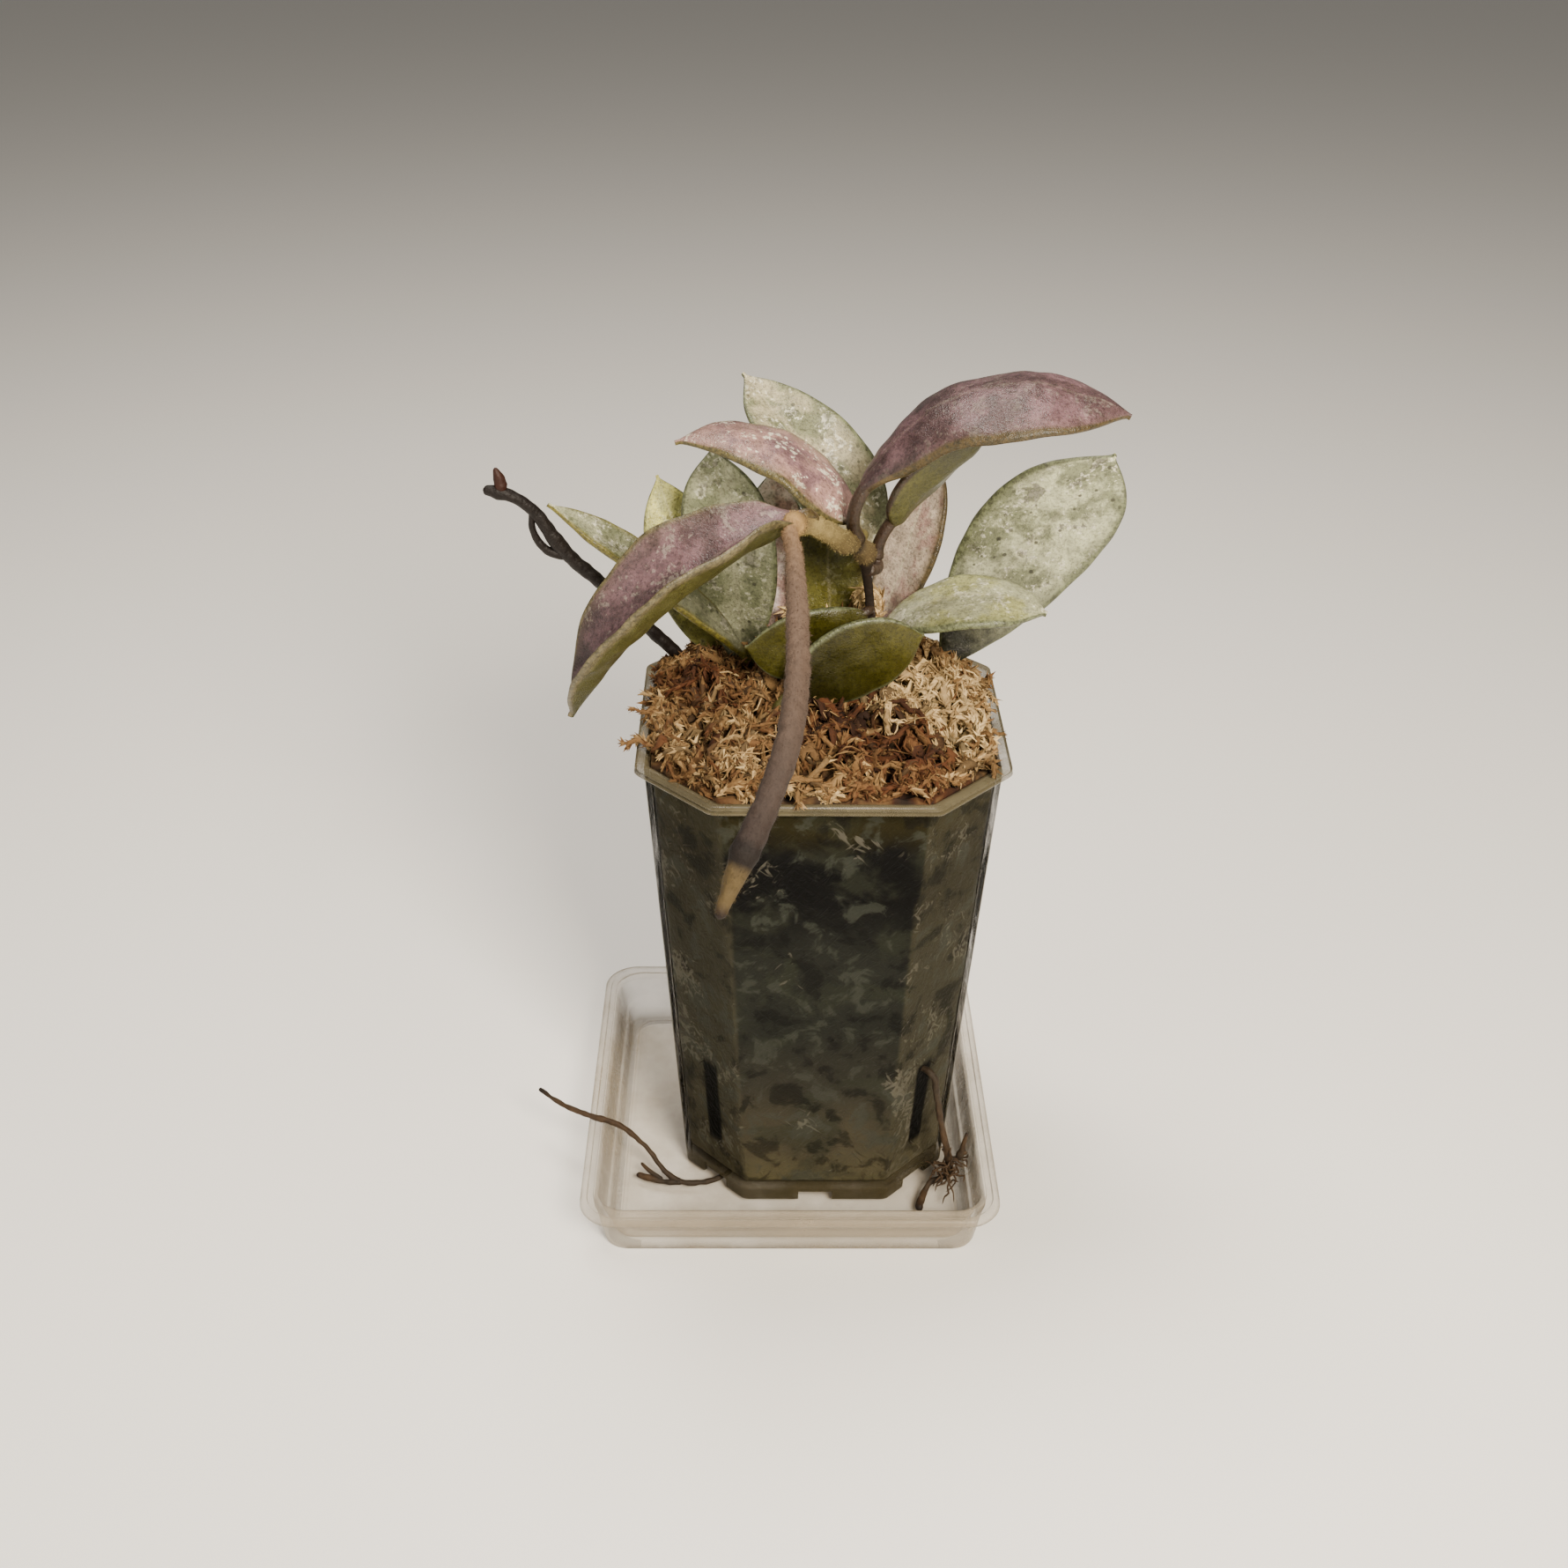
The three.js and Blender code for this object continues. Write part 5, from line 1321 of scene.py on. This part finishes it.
class HOYA_OT_moss(bpy.types.Operator):
    """The damp moss in the pot and the dry strands, tufts and leaflets on top of it"""

    bl_idname = "hoya.moss"
    bl_label = "Moss"

    def execute(self, context):
        settings = context.scene.hoya_moss
        colours = palette(settings)
        dry = dry_moss_skin(colours)
        self.pressed_moss(wet_moss_skin(colours))
        self.mound(dry)
        random = np.random.default_rng(17)
        # Each kind gives its strands, their shades, how far painted shade darkens them, and how many
        # leaflets a strand has and how long they are.
        bundles = [
            self.feathers(settings.feathers, random), self.rim(settings.feathers // 2, random),
            self.shreds(settings.shreds, random), self.tufts(settings.tufts, random),
            self.fibres(settings.fibres, random), self.curls(random), self.strays(random),
        ]
        self.strands("moss_strands", bundles, dry)
        self.scales("moss_leaflets", bundles, dry, random)
        return {"FINISHED"}

    def pressed_moss(self, material):
        """The moss's sides behind the wall, from the pot's floor to under its lip, dented by smooth
        noise of 9 mm and 3.5 mm. corner and slot are 1 behind a cut corner and behind a slot."""
        around = 240
        angle = np.arange(around) * 2 * np.pi / around
        heights = np.concatenate([[MOSS_FOOT], np.linspace(MOSS_FOOT + 0.2, MOSS_EDGE - 0.6, 40)])
        grid_a, grid_z = np.meshgrid(angle, heights)
        reach = wall_reach(grid_a, grid_z, MOSS_INSET)
        bare = np.stack([*from_pot(grid_a, reach), grid_z], -1)
        dent = np.clip(waves(bare, 9, 71) + 0.5 * waves(bare, 3.5, 72), -1, 0.2) - 0.2
        reach = reach + 0.12 * dent
        rings = np.stack([*from_pot(grid_a, reach), grid_z], -1)
        cos, sin = np.abs(np.cos(grid_a)), np.abs(np.sin(grid_a))
        half, leg = wall_at(grid_z)
        corner = (cos + sin) * half > (2 * half - leg) * np.maximum(cos, sin)
        offset = np.abs(cos - sin) * reach / np.sqrt(2)
        slot = corner & (offset < SLOT_WIDTH / 2) & (grid_z > SLOT_LOW) & (grid_z < SLOT_HIGH)
        values = {"corner": corner.astype(float).ravel(), "slot": slot.astype(float).ravel()}
        values = capped(values, len(heights), around)
        place(make_mesh("moss_sides", *tubes(rings[None]), values), material, "dried_moss", "moss")

    def mound(self, material):
        """The top of the moss under the loose strands: a disc of rings, roughened by noise."""
        around, rings = 220, 70
        angle = np.arange(around) * 2 * np.pi / around
        grid_a, grid_s = np.meshgrid(angle, np.linspace(1, 0.01, rings))
        x, y = from_pot(grid_a, wall_reach(grid_a, MOSS_EDGE, MOSS_INSET) * grid_s)
        z = moss_height(x, y, grid_s) - 1.6 * (1 - ease(grid_s, 0.9, 1))
        bare = np.stack([x, y, z], -1)
        rough = 0.7 * waves(bare, 4.2, 61) + 0.5 * waves(bare, 1.9, 62)
        z = z + rough * (1 - ease(grid_s, 0.9, 1))
        skirt = np.stack([x[0], y[0], np.full(around, MOSS_EDGE - 0.8)], -1)
        rows = np.concatenate([skirt[None], np.stack([x, y, z], -1)])
        random = np.random.default_rng(4)
        # The mound sits below the strands and is darkened, more in its hollows: painted shade between
        # the strands, with the wet moss's colour.
        shade = moss_shade(x, y, random) - 0.12
        deep = np.clip(0.62 - 0.3 * rough - 0.15 * heap(x, y), 0.3, 0.95)
        values = capped({
            "shade": np.concatenate([shade[0], shade.ravel()]),
            "deep": np.concatenate([deep[0], deep.ravel()]),
        }, len(rows), around)
        place(make_mesh("moss_mound", *tubes(rows[None]), values), material, "dried_moss")

    def feathers(self, count, random):
        """Long soft strands, covered all over in leaflets."""
        bundle, x, y = scattered(
            count, random, most=0.97, length=(4.5, 12), width=(0.45, 0.95), thickness=(0.3, 0.6),
            lift=(0.1, 2.8), curl=1.9,
        )
        return bundle, moss_shade(x, y, random), moss_painted_shade_and_wet(x, y, random), 34, 1.5

    def rim(self, count, random):
        """Strands that lie along the wall and over the lip, raised by up to 1.1 mm to clear it."""
        angle = random.uniform(0, 2 * np.pi, count)
        share = random.uniform(0.88, 1.04, count)
        x, y = from_pot(angle, wall_reach(angle, MOSS_EDGE, MOSS_INSET) * share)
        heading = angle + np.pi * (0.75 + 0.5 * random.integers(0, 2, count))
        bundle, centres, along = strand_bundle(
            x, y, heading, random.uniform(2.5, 6, count), random.uniform(0.4, 0.75, count),
            random.uniform(0.3, 0.45, count), random.uniform(0.2, 1, count),
            random.normal(0, 0.7, count), random, keep_in=False,
        )
        rise = 1.1 * ease(share, 0.9, 1)
        bundle[..., 2] += rise[:, None, None]
        centres[..., 2] += rise[:, None]
        shade = moss_shade(x, y, random)
        return (bundle, centres, along), shade, 0.3 * random.uniform(0, 1, count), 30, 1.5

    def shreds(self, count, random):
        """Broad thin flakes, curled and torn."""
        bundle, x, y = scattered(
            count, random, most=0.97, length=(2.6, 6.5), width=(0.7, 1.7), thickness=(0.08, 0.16),
            lift=(0.4, 2.6), curl=1.6,
        )
        shade = np.clip(moss_shade(x, y, random) - 0.05, 0.12, 1)
        return bundle, shade, moss_painted_shade_and_wet(x, y, random), 9, 0.9

    def tufts(self, count, random):
        """Heads of moss: eight arms leave each middle, rise and droop."""
        arms = 8
        x, y = moss_spots(count, random, 0.93)
        shade, deep = moss_shade(x, y, random), 0.6 * moss_painted_shade_and_wet(x, y, random)
        x, y, shade, deep = (np.repeat(value, arms) for value in (x, y, shade, deep))
        heading = np.tile(np.arange(arms), count) * 2 * np.pi / arms + random.normal(0, 0.4, len(x))
        bundle = strand_bundle(
            x, y, heading, random.uniform(1.8, 3.8, len(x)), random.uniform(0.22, 0.45, len(x)),
            random.uniform(0.18, 0.32, len(x)), random.uniform(1.2, 2.6, len(x)),
            random.normal(0, 0.8, len(x)), random,
        )
        shade = np.clip(shade + random.normal(0, 0.05, len(x)), 0.1, 1)
        return bundle, shade, deep, 18, 1.4

    def fibres(self, count, random):
        """Long thin strands that cross over the rest."""
        bundle, x, y = scattered(
            count, random, most=0.9, length=(6, 14), width=(0.12, 0.22), thickness=(0.1, 0.18),
            lift=(1.2, 3.2), curl=1.5,
        )
        shade = np.clip(moss_shade(x, y, random) + 0.12, 0.2, 1)
        return bundle, shade, 0 * x, 4, 0.5

    def curls(self, random):
        """The tuft that stands in the shade behind the low leaves. Each strand rises for 0.65 of its
        length, then hooks over: its steepness turns on from 90 degrees by about a turn."""
        tuft = np.repeat(np.array(MOSS_CURLS), 3, 0)
        count, rings = len(tuft), 20
        x, y = (tuft[:, :2] + random.normal(0, 0.9, (count, 2))).T
        heading = (tuft[:, 2] + random.normal(0, 0.5, count))[:, None]
        height = tuft[:, 3] * random.uniform(0.7, 1, count)
        step = (height / (0.65 * (rings - 1)))[:, None]
        hook = random.uniform(4, 8, count)[:, None] * ease(np.linspace(0, 1, rings), 0.55, 1.1)
        steep = np.pi / 2 + random.normal(0, 0.16, (count, rings)).cumsum(1) - hook
        centres = np.stack([
            x[:, None] + (step * np.cos(steep) * np.cos(heading)).cumsum(1),
            y[:, None] + (step * np.cos(steep) * np.sin(heading)).cumsum(1),
            MOSS_EDGE + (step * np.sin(steep)).cumsum(1),
        ], -1)
        bundle = clothed(centres, np.full(count, 0.85), np.full(count, 0.6), random)
        return bundle, random.uniform(0.55, 0.95, count), 0 * x, 90, 1.9

    def strays(self, random):
        """Strands that hang over the lip. Along each, they are raised by 0.9 t^1.1 + 0.8 sin(pi t)
        to clear it."""
        spots = np.repeat(np.array(MOSS_STRAYS), 3, 0)
        count = len(spots)
        x, y = (spots[:, :2] + random.normal(0, 0.9, (count, 2))).T
        bundle, centres, along = strand_bundle(
            x, y, spots[:, 2] + random.normal(0, 0.6, count),
            spots[:, 3] * random.uniform(0.55, 1, count), np.full(count, 0.5),
            np.full(count, 0.35), np.full(count, 1.1), random.normal(0, 1.4, count), random,
            keep_in=False,
        )
        t = np.linspace(0, 1, bundle.shape[1])
        rise = 0.9 * t ** 1.1 + 0.8 * np.sin(np.pi * t)
        bundle[..., 2] += rise[:, None]
        centres[..., 2] += rise
        shade = 0.5 + random.normal(0, 0.08, count)
        return (bundle, centres, along), shade, 0 * x, 34, 1.3

    def strands(self, name, bundles, material):
        """All the strands as one mesh."""
        parts, shade, deep = [], [], []
        for (bundle, _, _), tone, depth, _, _ in bundles:
            parts.append(tubes(bundle))
            each = bundle.shape[1] * bundle.shape[2] + 2
            shade.append(np.repeat(tone, each))
            deep.append(np.repeat(depth, each))
        values = {"shade": np.concatenate(shade), "deep": np.concatenate(deep)}
        place(make_mesh(name, *joined(parts), values), material, "dried_moss")

    def scales(self, name, bundles, material, random):
        """All the leaflets as one mesh."""
        points, fans, tones, start = [], [], [], 0
        for (bundle, centres, along), shade, _, each, size in bundles:
            some, faces, tone = leaflets(bundle, centres, along, shade, each, size, random)
            points.append(some)
            fans.append(faces + start)
            tones.append(tone)
            start += len(some)
        shade = np.concatenate(tones)
        mesh = make_mesh(
            name, np.concatenate(points), [], np.concatenate(fans),
            {"shade": shade, "deep": shade * 0}, smooth=False,
        )
        place(mesh, material, "dried_moss")


# ---- Pot and saucer -------------------------------------------------------------------------


def octagon(half, leg, radius, steps=5):
    """A square with cut corners whose eight corners are rounded, with steps points on each: an
    arc's middle is the corner moved in along its bisector by radius / cos(22.5 degrees)."""
    short = half - leg
    corners = np.array([
        (half, -short), (half, short), (short, half), (-short, half), (-half, short),
        (-half, -short), (-short, -half), (short, -half),
    ])
    bisector = np.radians(-22.5 + 45 * np.arange(8))
    way = np.stack([np.cos(bisector), np.sin(bisector)], -1)
    middle = corners - way * radius / np.cos(np.pi / 8)
    angle = bisector[:, None] + np.linspace(-np.pi / 8, np.pi / 8, steps)
    arc = middle[:, None] + radius * np.stack([np.cos(angle), np.sin(angle)], -1)
    return arc.reshape(-1, 2) + POT_CENTRE


def pot_rings():
    """Rings of the pot's profile, from the middle under its floor, down the skirt, up the outside,
    over the beaded lip and down the inside to the middle of its floor."""
    under, floor = POT_FOOT + POT_SKIRT, POT_FOOT + POT_SKIRT + POT_FLOOR
    rings = []

    def ring(z, inset=0.0, at=None, shrink=1.0):
        half, leg = wall_at(z if at is None else at)
        cut = leg - inset * (2 - np.sqrt(2))
        flat = octagon(half - inset, cut, POT_ROUNDING - min(inset, 1))
        flat = POT_CENTRE + (flat - POT_CENTRE) * shrink
        rings.append(np.column_stack([flat, np.full(len(flat), z)]))

    for shrink in (0.02, 0.5, 1):
        ring(under, POT_WALL, shrink=shrink)
    ring(POT_FOOT + 0.15, POT_WALL, at=POT_FOOT)
    ring(POT_FOOT, POT_WALL - 0.2)
    ring(POT_FOOT, 0.25)
    ring(POT_FOOT + 0.25)
    for z in np.linspace(4, POT_SHOULDER - 0.5, 14):
        ring(z)
    for inwards, up in LIP_PROFILE:
        flat = octagon(POT_LIP - inwards, POT_LIP_CUT - 0.35 * inwards, LIP_ROUNDING)
        rings.append(np.column_stack([flat, np.full(len(flat), POT_SHOULDER + up)]))
    for z in np.linspace(POT_SHOULDER + 0.6, floor + 0.6, 12):
        ring(z, POT_WALL)
    ring(floor + 0.15, POT_WALL + 0.15)
    for shrink in (0.98, 0.5, 0.02):
        ring(floor, POT_WALL + 0.4, shrink=shrink)
    return np.array(rings)


def box_rings(length, width, low, high, ends=9):
    """A bar along X, from one place in length to the other. Its outline is upright from low to
    high, with round ends of that many points each, or square corners where ends is 0."""
    if ends:
        a = np.linspace(0, np.pi, ends)
        top = np.column_stack([width / 2 * np.cos(a), high - width / 2 + width / 2 * np.sin(a)])
        foot = np.column_stack([-width / 2 * np.cos(a), low + width / 2 - width / 2 * np.sin(a)])
        outline = np.vstack([top, foot])
    else:
        half = width / 2
        outline = np.array([(half, high), (-half, high), (-half, low), (half, low)])
    rings = [
        np.column_stack([np.full(len(outline), x), outline[:, 0], outline[:, 1]]) for x in length
    ]
    return np.array(rings)


def cutters():
    """The slots on the cut corners, the notches in the foot and the drain holes in the floor."""
    parts = []
    for k in range(8):
        turn = k * np.pi / 4
        matrix = np.array([
            (np.cos(turn), -np.sin(turn), 0), (np.sin(turn), np.cos(turn), 0), (0, 0, 1),
        ])
        shapes = [box_rings((16, 40), NOTCH_WIDTH, POT_FOOT - 2.4, POT_FOOT + 2.4, ends=0)]
        if k % 2:
            shapes.append(box_rings((23, 39), SLOT_WIDTH, SLOT_LOW, SLOT_HIGH))
            a = np.arange(20) * np.pi / 10
            disc = DRAIN_RADIUS * np.stack([np.cos(a), np.sin(a)], -1) + (DRAIN_REACH, 0)
            shapes.append(np.array([
                np.column_stack([disc, np.full(len(a), z)]) for z in (2.9, 7.2)
            ]))
        for shape in shapes:
            turned = shape @ matrix.T + np.array([*POT_CENTRE, 0])
            parts.append(tubes(turned[None]))
    return joined(parts)


def rounded_square(half, radius, z, steps=9):
    """A square ring with round corners, each an arc of steps points about its own middle."""
    a = np.linspace(0, np.pi / 2, steps)
    quarter = np.arange(4)[:, None] * np.pi / 2
    middle = (half - radius) * np.sqrt(2)
    x = middle * np.cos(quarter + np.pi / 4) + radius * np.cos(quarter + a)
    y = middle * np.sin(quarter + np.pi / 4) + radius * np.sin(quarter + a)
    return np.column_stack([x.ravel(), y.ravel(), np.full(x.size, z)])


class HOYA_OT_pot(bpy.types.Operator):
    """The clear pot with its beaded lip, slots, notches and drain holes"""

    bl_idname = "hoya.pot"
    bl_label = "Pot"

    def execute(self, context):
        settings = context.scene.hoya_plastic
        colours = palette(settings)
        material = clear_plastic(
            "clear polypropylene", [colours[key] for key in ("milk", "edge", "foot")],
            settings.roughness, facing=(0.35, 0.6), dense=(0, 0.97), shine=0.05,
            lip_at=POT_SHOULDER * MM, foot_at=MOSS_FOOT * MM,
        )
        pot = place(
            make_mesh("pot_wall", *tubes(pot_rings()[None]), {}), material, "clear_plastic", "pot",
        )
        cutter = bpy.data.objects.new("pot_cutter", make_mesh("pot_cutter", *cutters(), {}))
        context.scene.collection.objects.link(cutter)
        cut = pot.modifiers.new("slots", "BOOLEAN")
        cut.object = cutter
        cut.operation = "DIFFERENCE"
        cut.solver = "EXACT"
        shaped = bpy.data.meshes.new_from_object(
            pot.evaluated_get(context.evaluated_depsgraph_get()),
        )
        pot.modifiers.clear()
        pot.data = shaped
        shaped.name = "pot_wall"
        shaped.set_sharp_from_angle(angle=np.radians(34))
        bpy.data.objects.remove(cutter)
        return {"FINISHED"}


class HOYA_OT_saucer(bpy.types.Operator):
    """The clear square saucer with its grooved flange and ribbed floor"""

    bl_idname = "hoya.saucer"
    bl_label = "Saucer"

    def execute(self, context):
        settings = context.scene.hoya_plastic
        rings = np.array([rounded_square(*spot) for spot in SAUCER_PROFILE])
        colours = palette(settings)
        material = clear_plastic(
            "clear saucer polypropylene",
            [colours[key] for key in ("saucer", "saucer_edge", "saucer")],
            0.9 * settings.roughness, facing=(0, 0.8), dense=(0.16, 0.95), shine=0.4,
        )
        mesh = make_mesh("saucer_tray", *tubes(rings[None]), {})
        mesh.set_sharp_from_angle(angle=np.radians(50))
        place(mesh, material, "clear_plastic", "saucer")
        return {"FINISHED"}


# ---- Stage ----------------------------------------------------------------------------------


class HOYA_OT_stage(bpy.types.Operator):
    """The pale floor, soft lights and camera"""

    bl_idname = "hoya.stage"
    bl_label = "Stage"

    def execute(self, context):
        settings = context.scene.hoya_stage
        scene = context.scene
        corners = FLOOR_REACH / MM * np.array([(-1, -1, 0), (1, -1, 0), (1, 1, 0), (-1, 1, 0)])
        mesh = make_mesh("floor", corners, [[0, 1, 2, 3]], [], {}, smooth=False)
        material, tree, where = new_material("matt white laminate")
        haze = add(tree, "ShaderNodeTexNoise", {"Vector": where, "Scale": 3}).outputs["Fac"]
        dull = add(tree, "ShaderNodeMapRange", {
            "Value": haze, "To Min": 0.5, "To Max": 0.6,
        }).outputs["Result"]
        finish_material(tree, {"Base Color": tuple(settings.floor), "Roughness": dull})
        mesh.materials.append(material)
        floor = bpy.data.objects.new("floor", mesh)
        scene.collection.objects.link(floor)

        world = bpy.data.worlds.new("soft white room")
        scene.world = world
        world.use_nodes = True
        glow = world.node_tree.nodes["Background"].inputs
        glow["Color"].default_value = linear("#f4efe6")
        glow["Strength"].default_value = 0.2

        for name, (spot, size, share, code) in LIGHTS.items():
            lamp = bpy.data.lights.new(name, "AREA")
            lamp.size = size
            lamp.energy = share * settings.key
            lamp.color = linear(code)[:3]
            light = bpy.data.objects.new(name, lamp)
            light.location = spot
            light.rotation_mode = "QUATERNION"
            light.rotation_quaternion = (Vector(LIGHTS_AIM) - light.location).to_track_quat("-Z", "Y")
            scene.collection.objects.link(light)

        yaw, pitch, roll = np.radians(CAMERA_TURNS)
        ahead = Vector((np.sin(yaw) * np.cos(pitch), np.cos(yaw) * np.cos(pitch), -np.sin(pitch)))
        right = ahead.cross(Vector((0, 0, 1))).normalized()
        down = ahead.cross(right)
        right, down = (
            right * np.cos(roll) + down * np.sin(roll), down * np.cos(roll) - right * np.sin(roll),
        )
        eye = bpy.data.cameras.new("camera")
        eye.sensor_width = 36
        eye.lens = settings.lens
        eye.clip_start = 0.01
        camera = bpy.data.objects.new("camera", eye)
        turn = Matrix((right, -down, -ahead)).transposed().to_4x4()
        camera.matrix_world = Matrix.Translation(CAMERA_SPOT) @ turn
        scene.collection.objects.link(camera)
        scene.camera = camera
        return {"FINISHED"}


class HOYA_PT_panel(bpy.types.Panel):
    """Everything that makes up the plant, with its settings"""

    bl_label = "Potted hoya"
    bl_idname = "HOYA_PT_panel"
    bl_space_type = "VIEW_3D"
    bl_region_type = "UI"
    bl_category = "Hoya"

    def draw(self, context):
        for name, group in SETTINGS.items():
            box = self.layout.box()
            for key in group.__annotations__:
                box.prop(getattr(context.scene, name), key)
        for operator in OPERATORS:
            self.layout.operator(operator.bl_idname)


SETTINGS = {
    "hoya_leaves": HoyaLeafSettings, "hoya_stems": HoyaStemSettings, "hoya_moss": HoyaMossSettings,
    "hoya_plastic": HoyaPlasticSettings, "hoya_stage": HoyaStageSettings,
}
OPERATORS = (
    HOYA_OT_stage, HOYA_OT_saucer, HOYA_OT_pot, HOYA_OT_moss, HOYA_OT_roots, HOYA_OT_vine,
    HOYA_OT_bare_shoot, HOYA_OT_leaves,
)


def register():
    """Adds the settings, operators and panel to the program."""
    for group in (*SETTINGS.values(), *OPERATORS, HOYA_PT_panel):
        bpy.utils.register_class(group)
    for name, group in SETTINGS.items():
        setattr(bpy.types.Scene, name, PointerProperty(type=group))


def unregister():
    """Takes them out again."""
    for name in SETTINGS:
        delattr(bpy.types.Scene, name)
    for group in reversed((*SETTINGS.values(), *OPERATORS, HOYA_PT_panel)):
        bpy.utils.unregister_class(group)


def main():
    """Builds everything."""
    register()
    for operator in OPERATORS:
        family, step = operator.bl_idname.split(".")
        getattr(getattr(bpy.ops, family), step)()


if __name__ == "__main__":
    main()
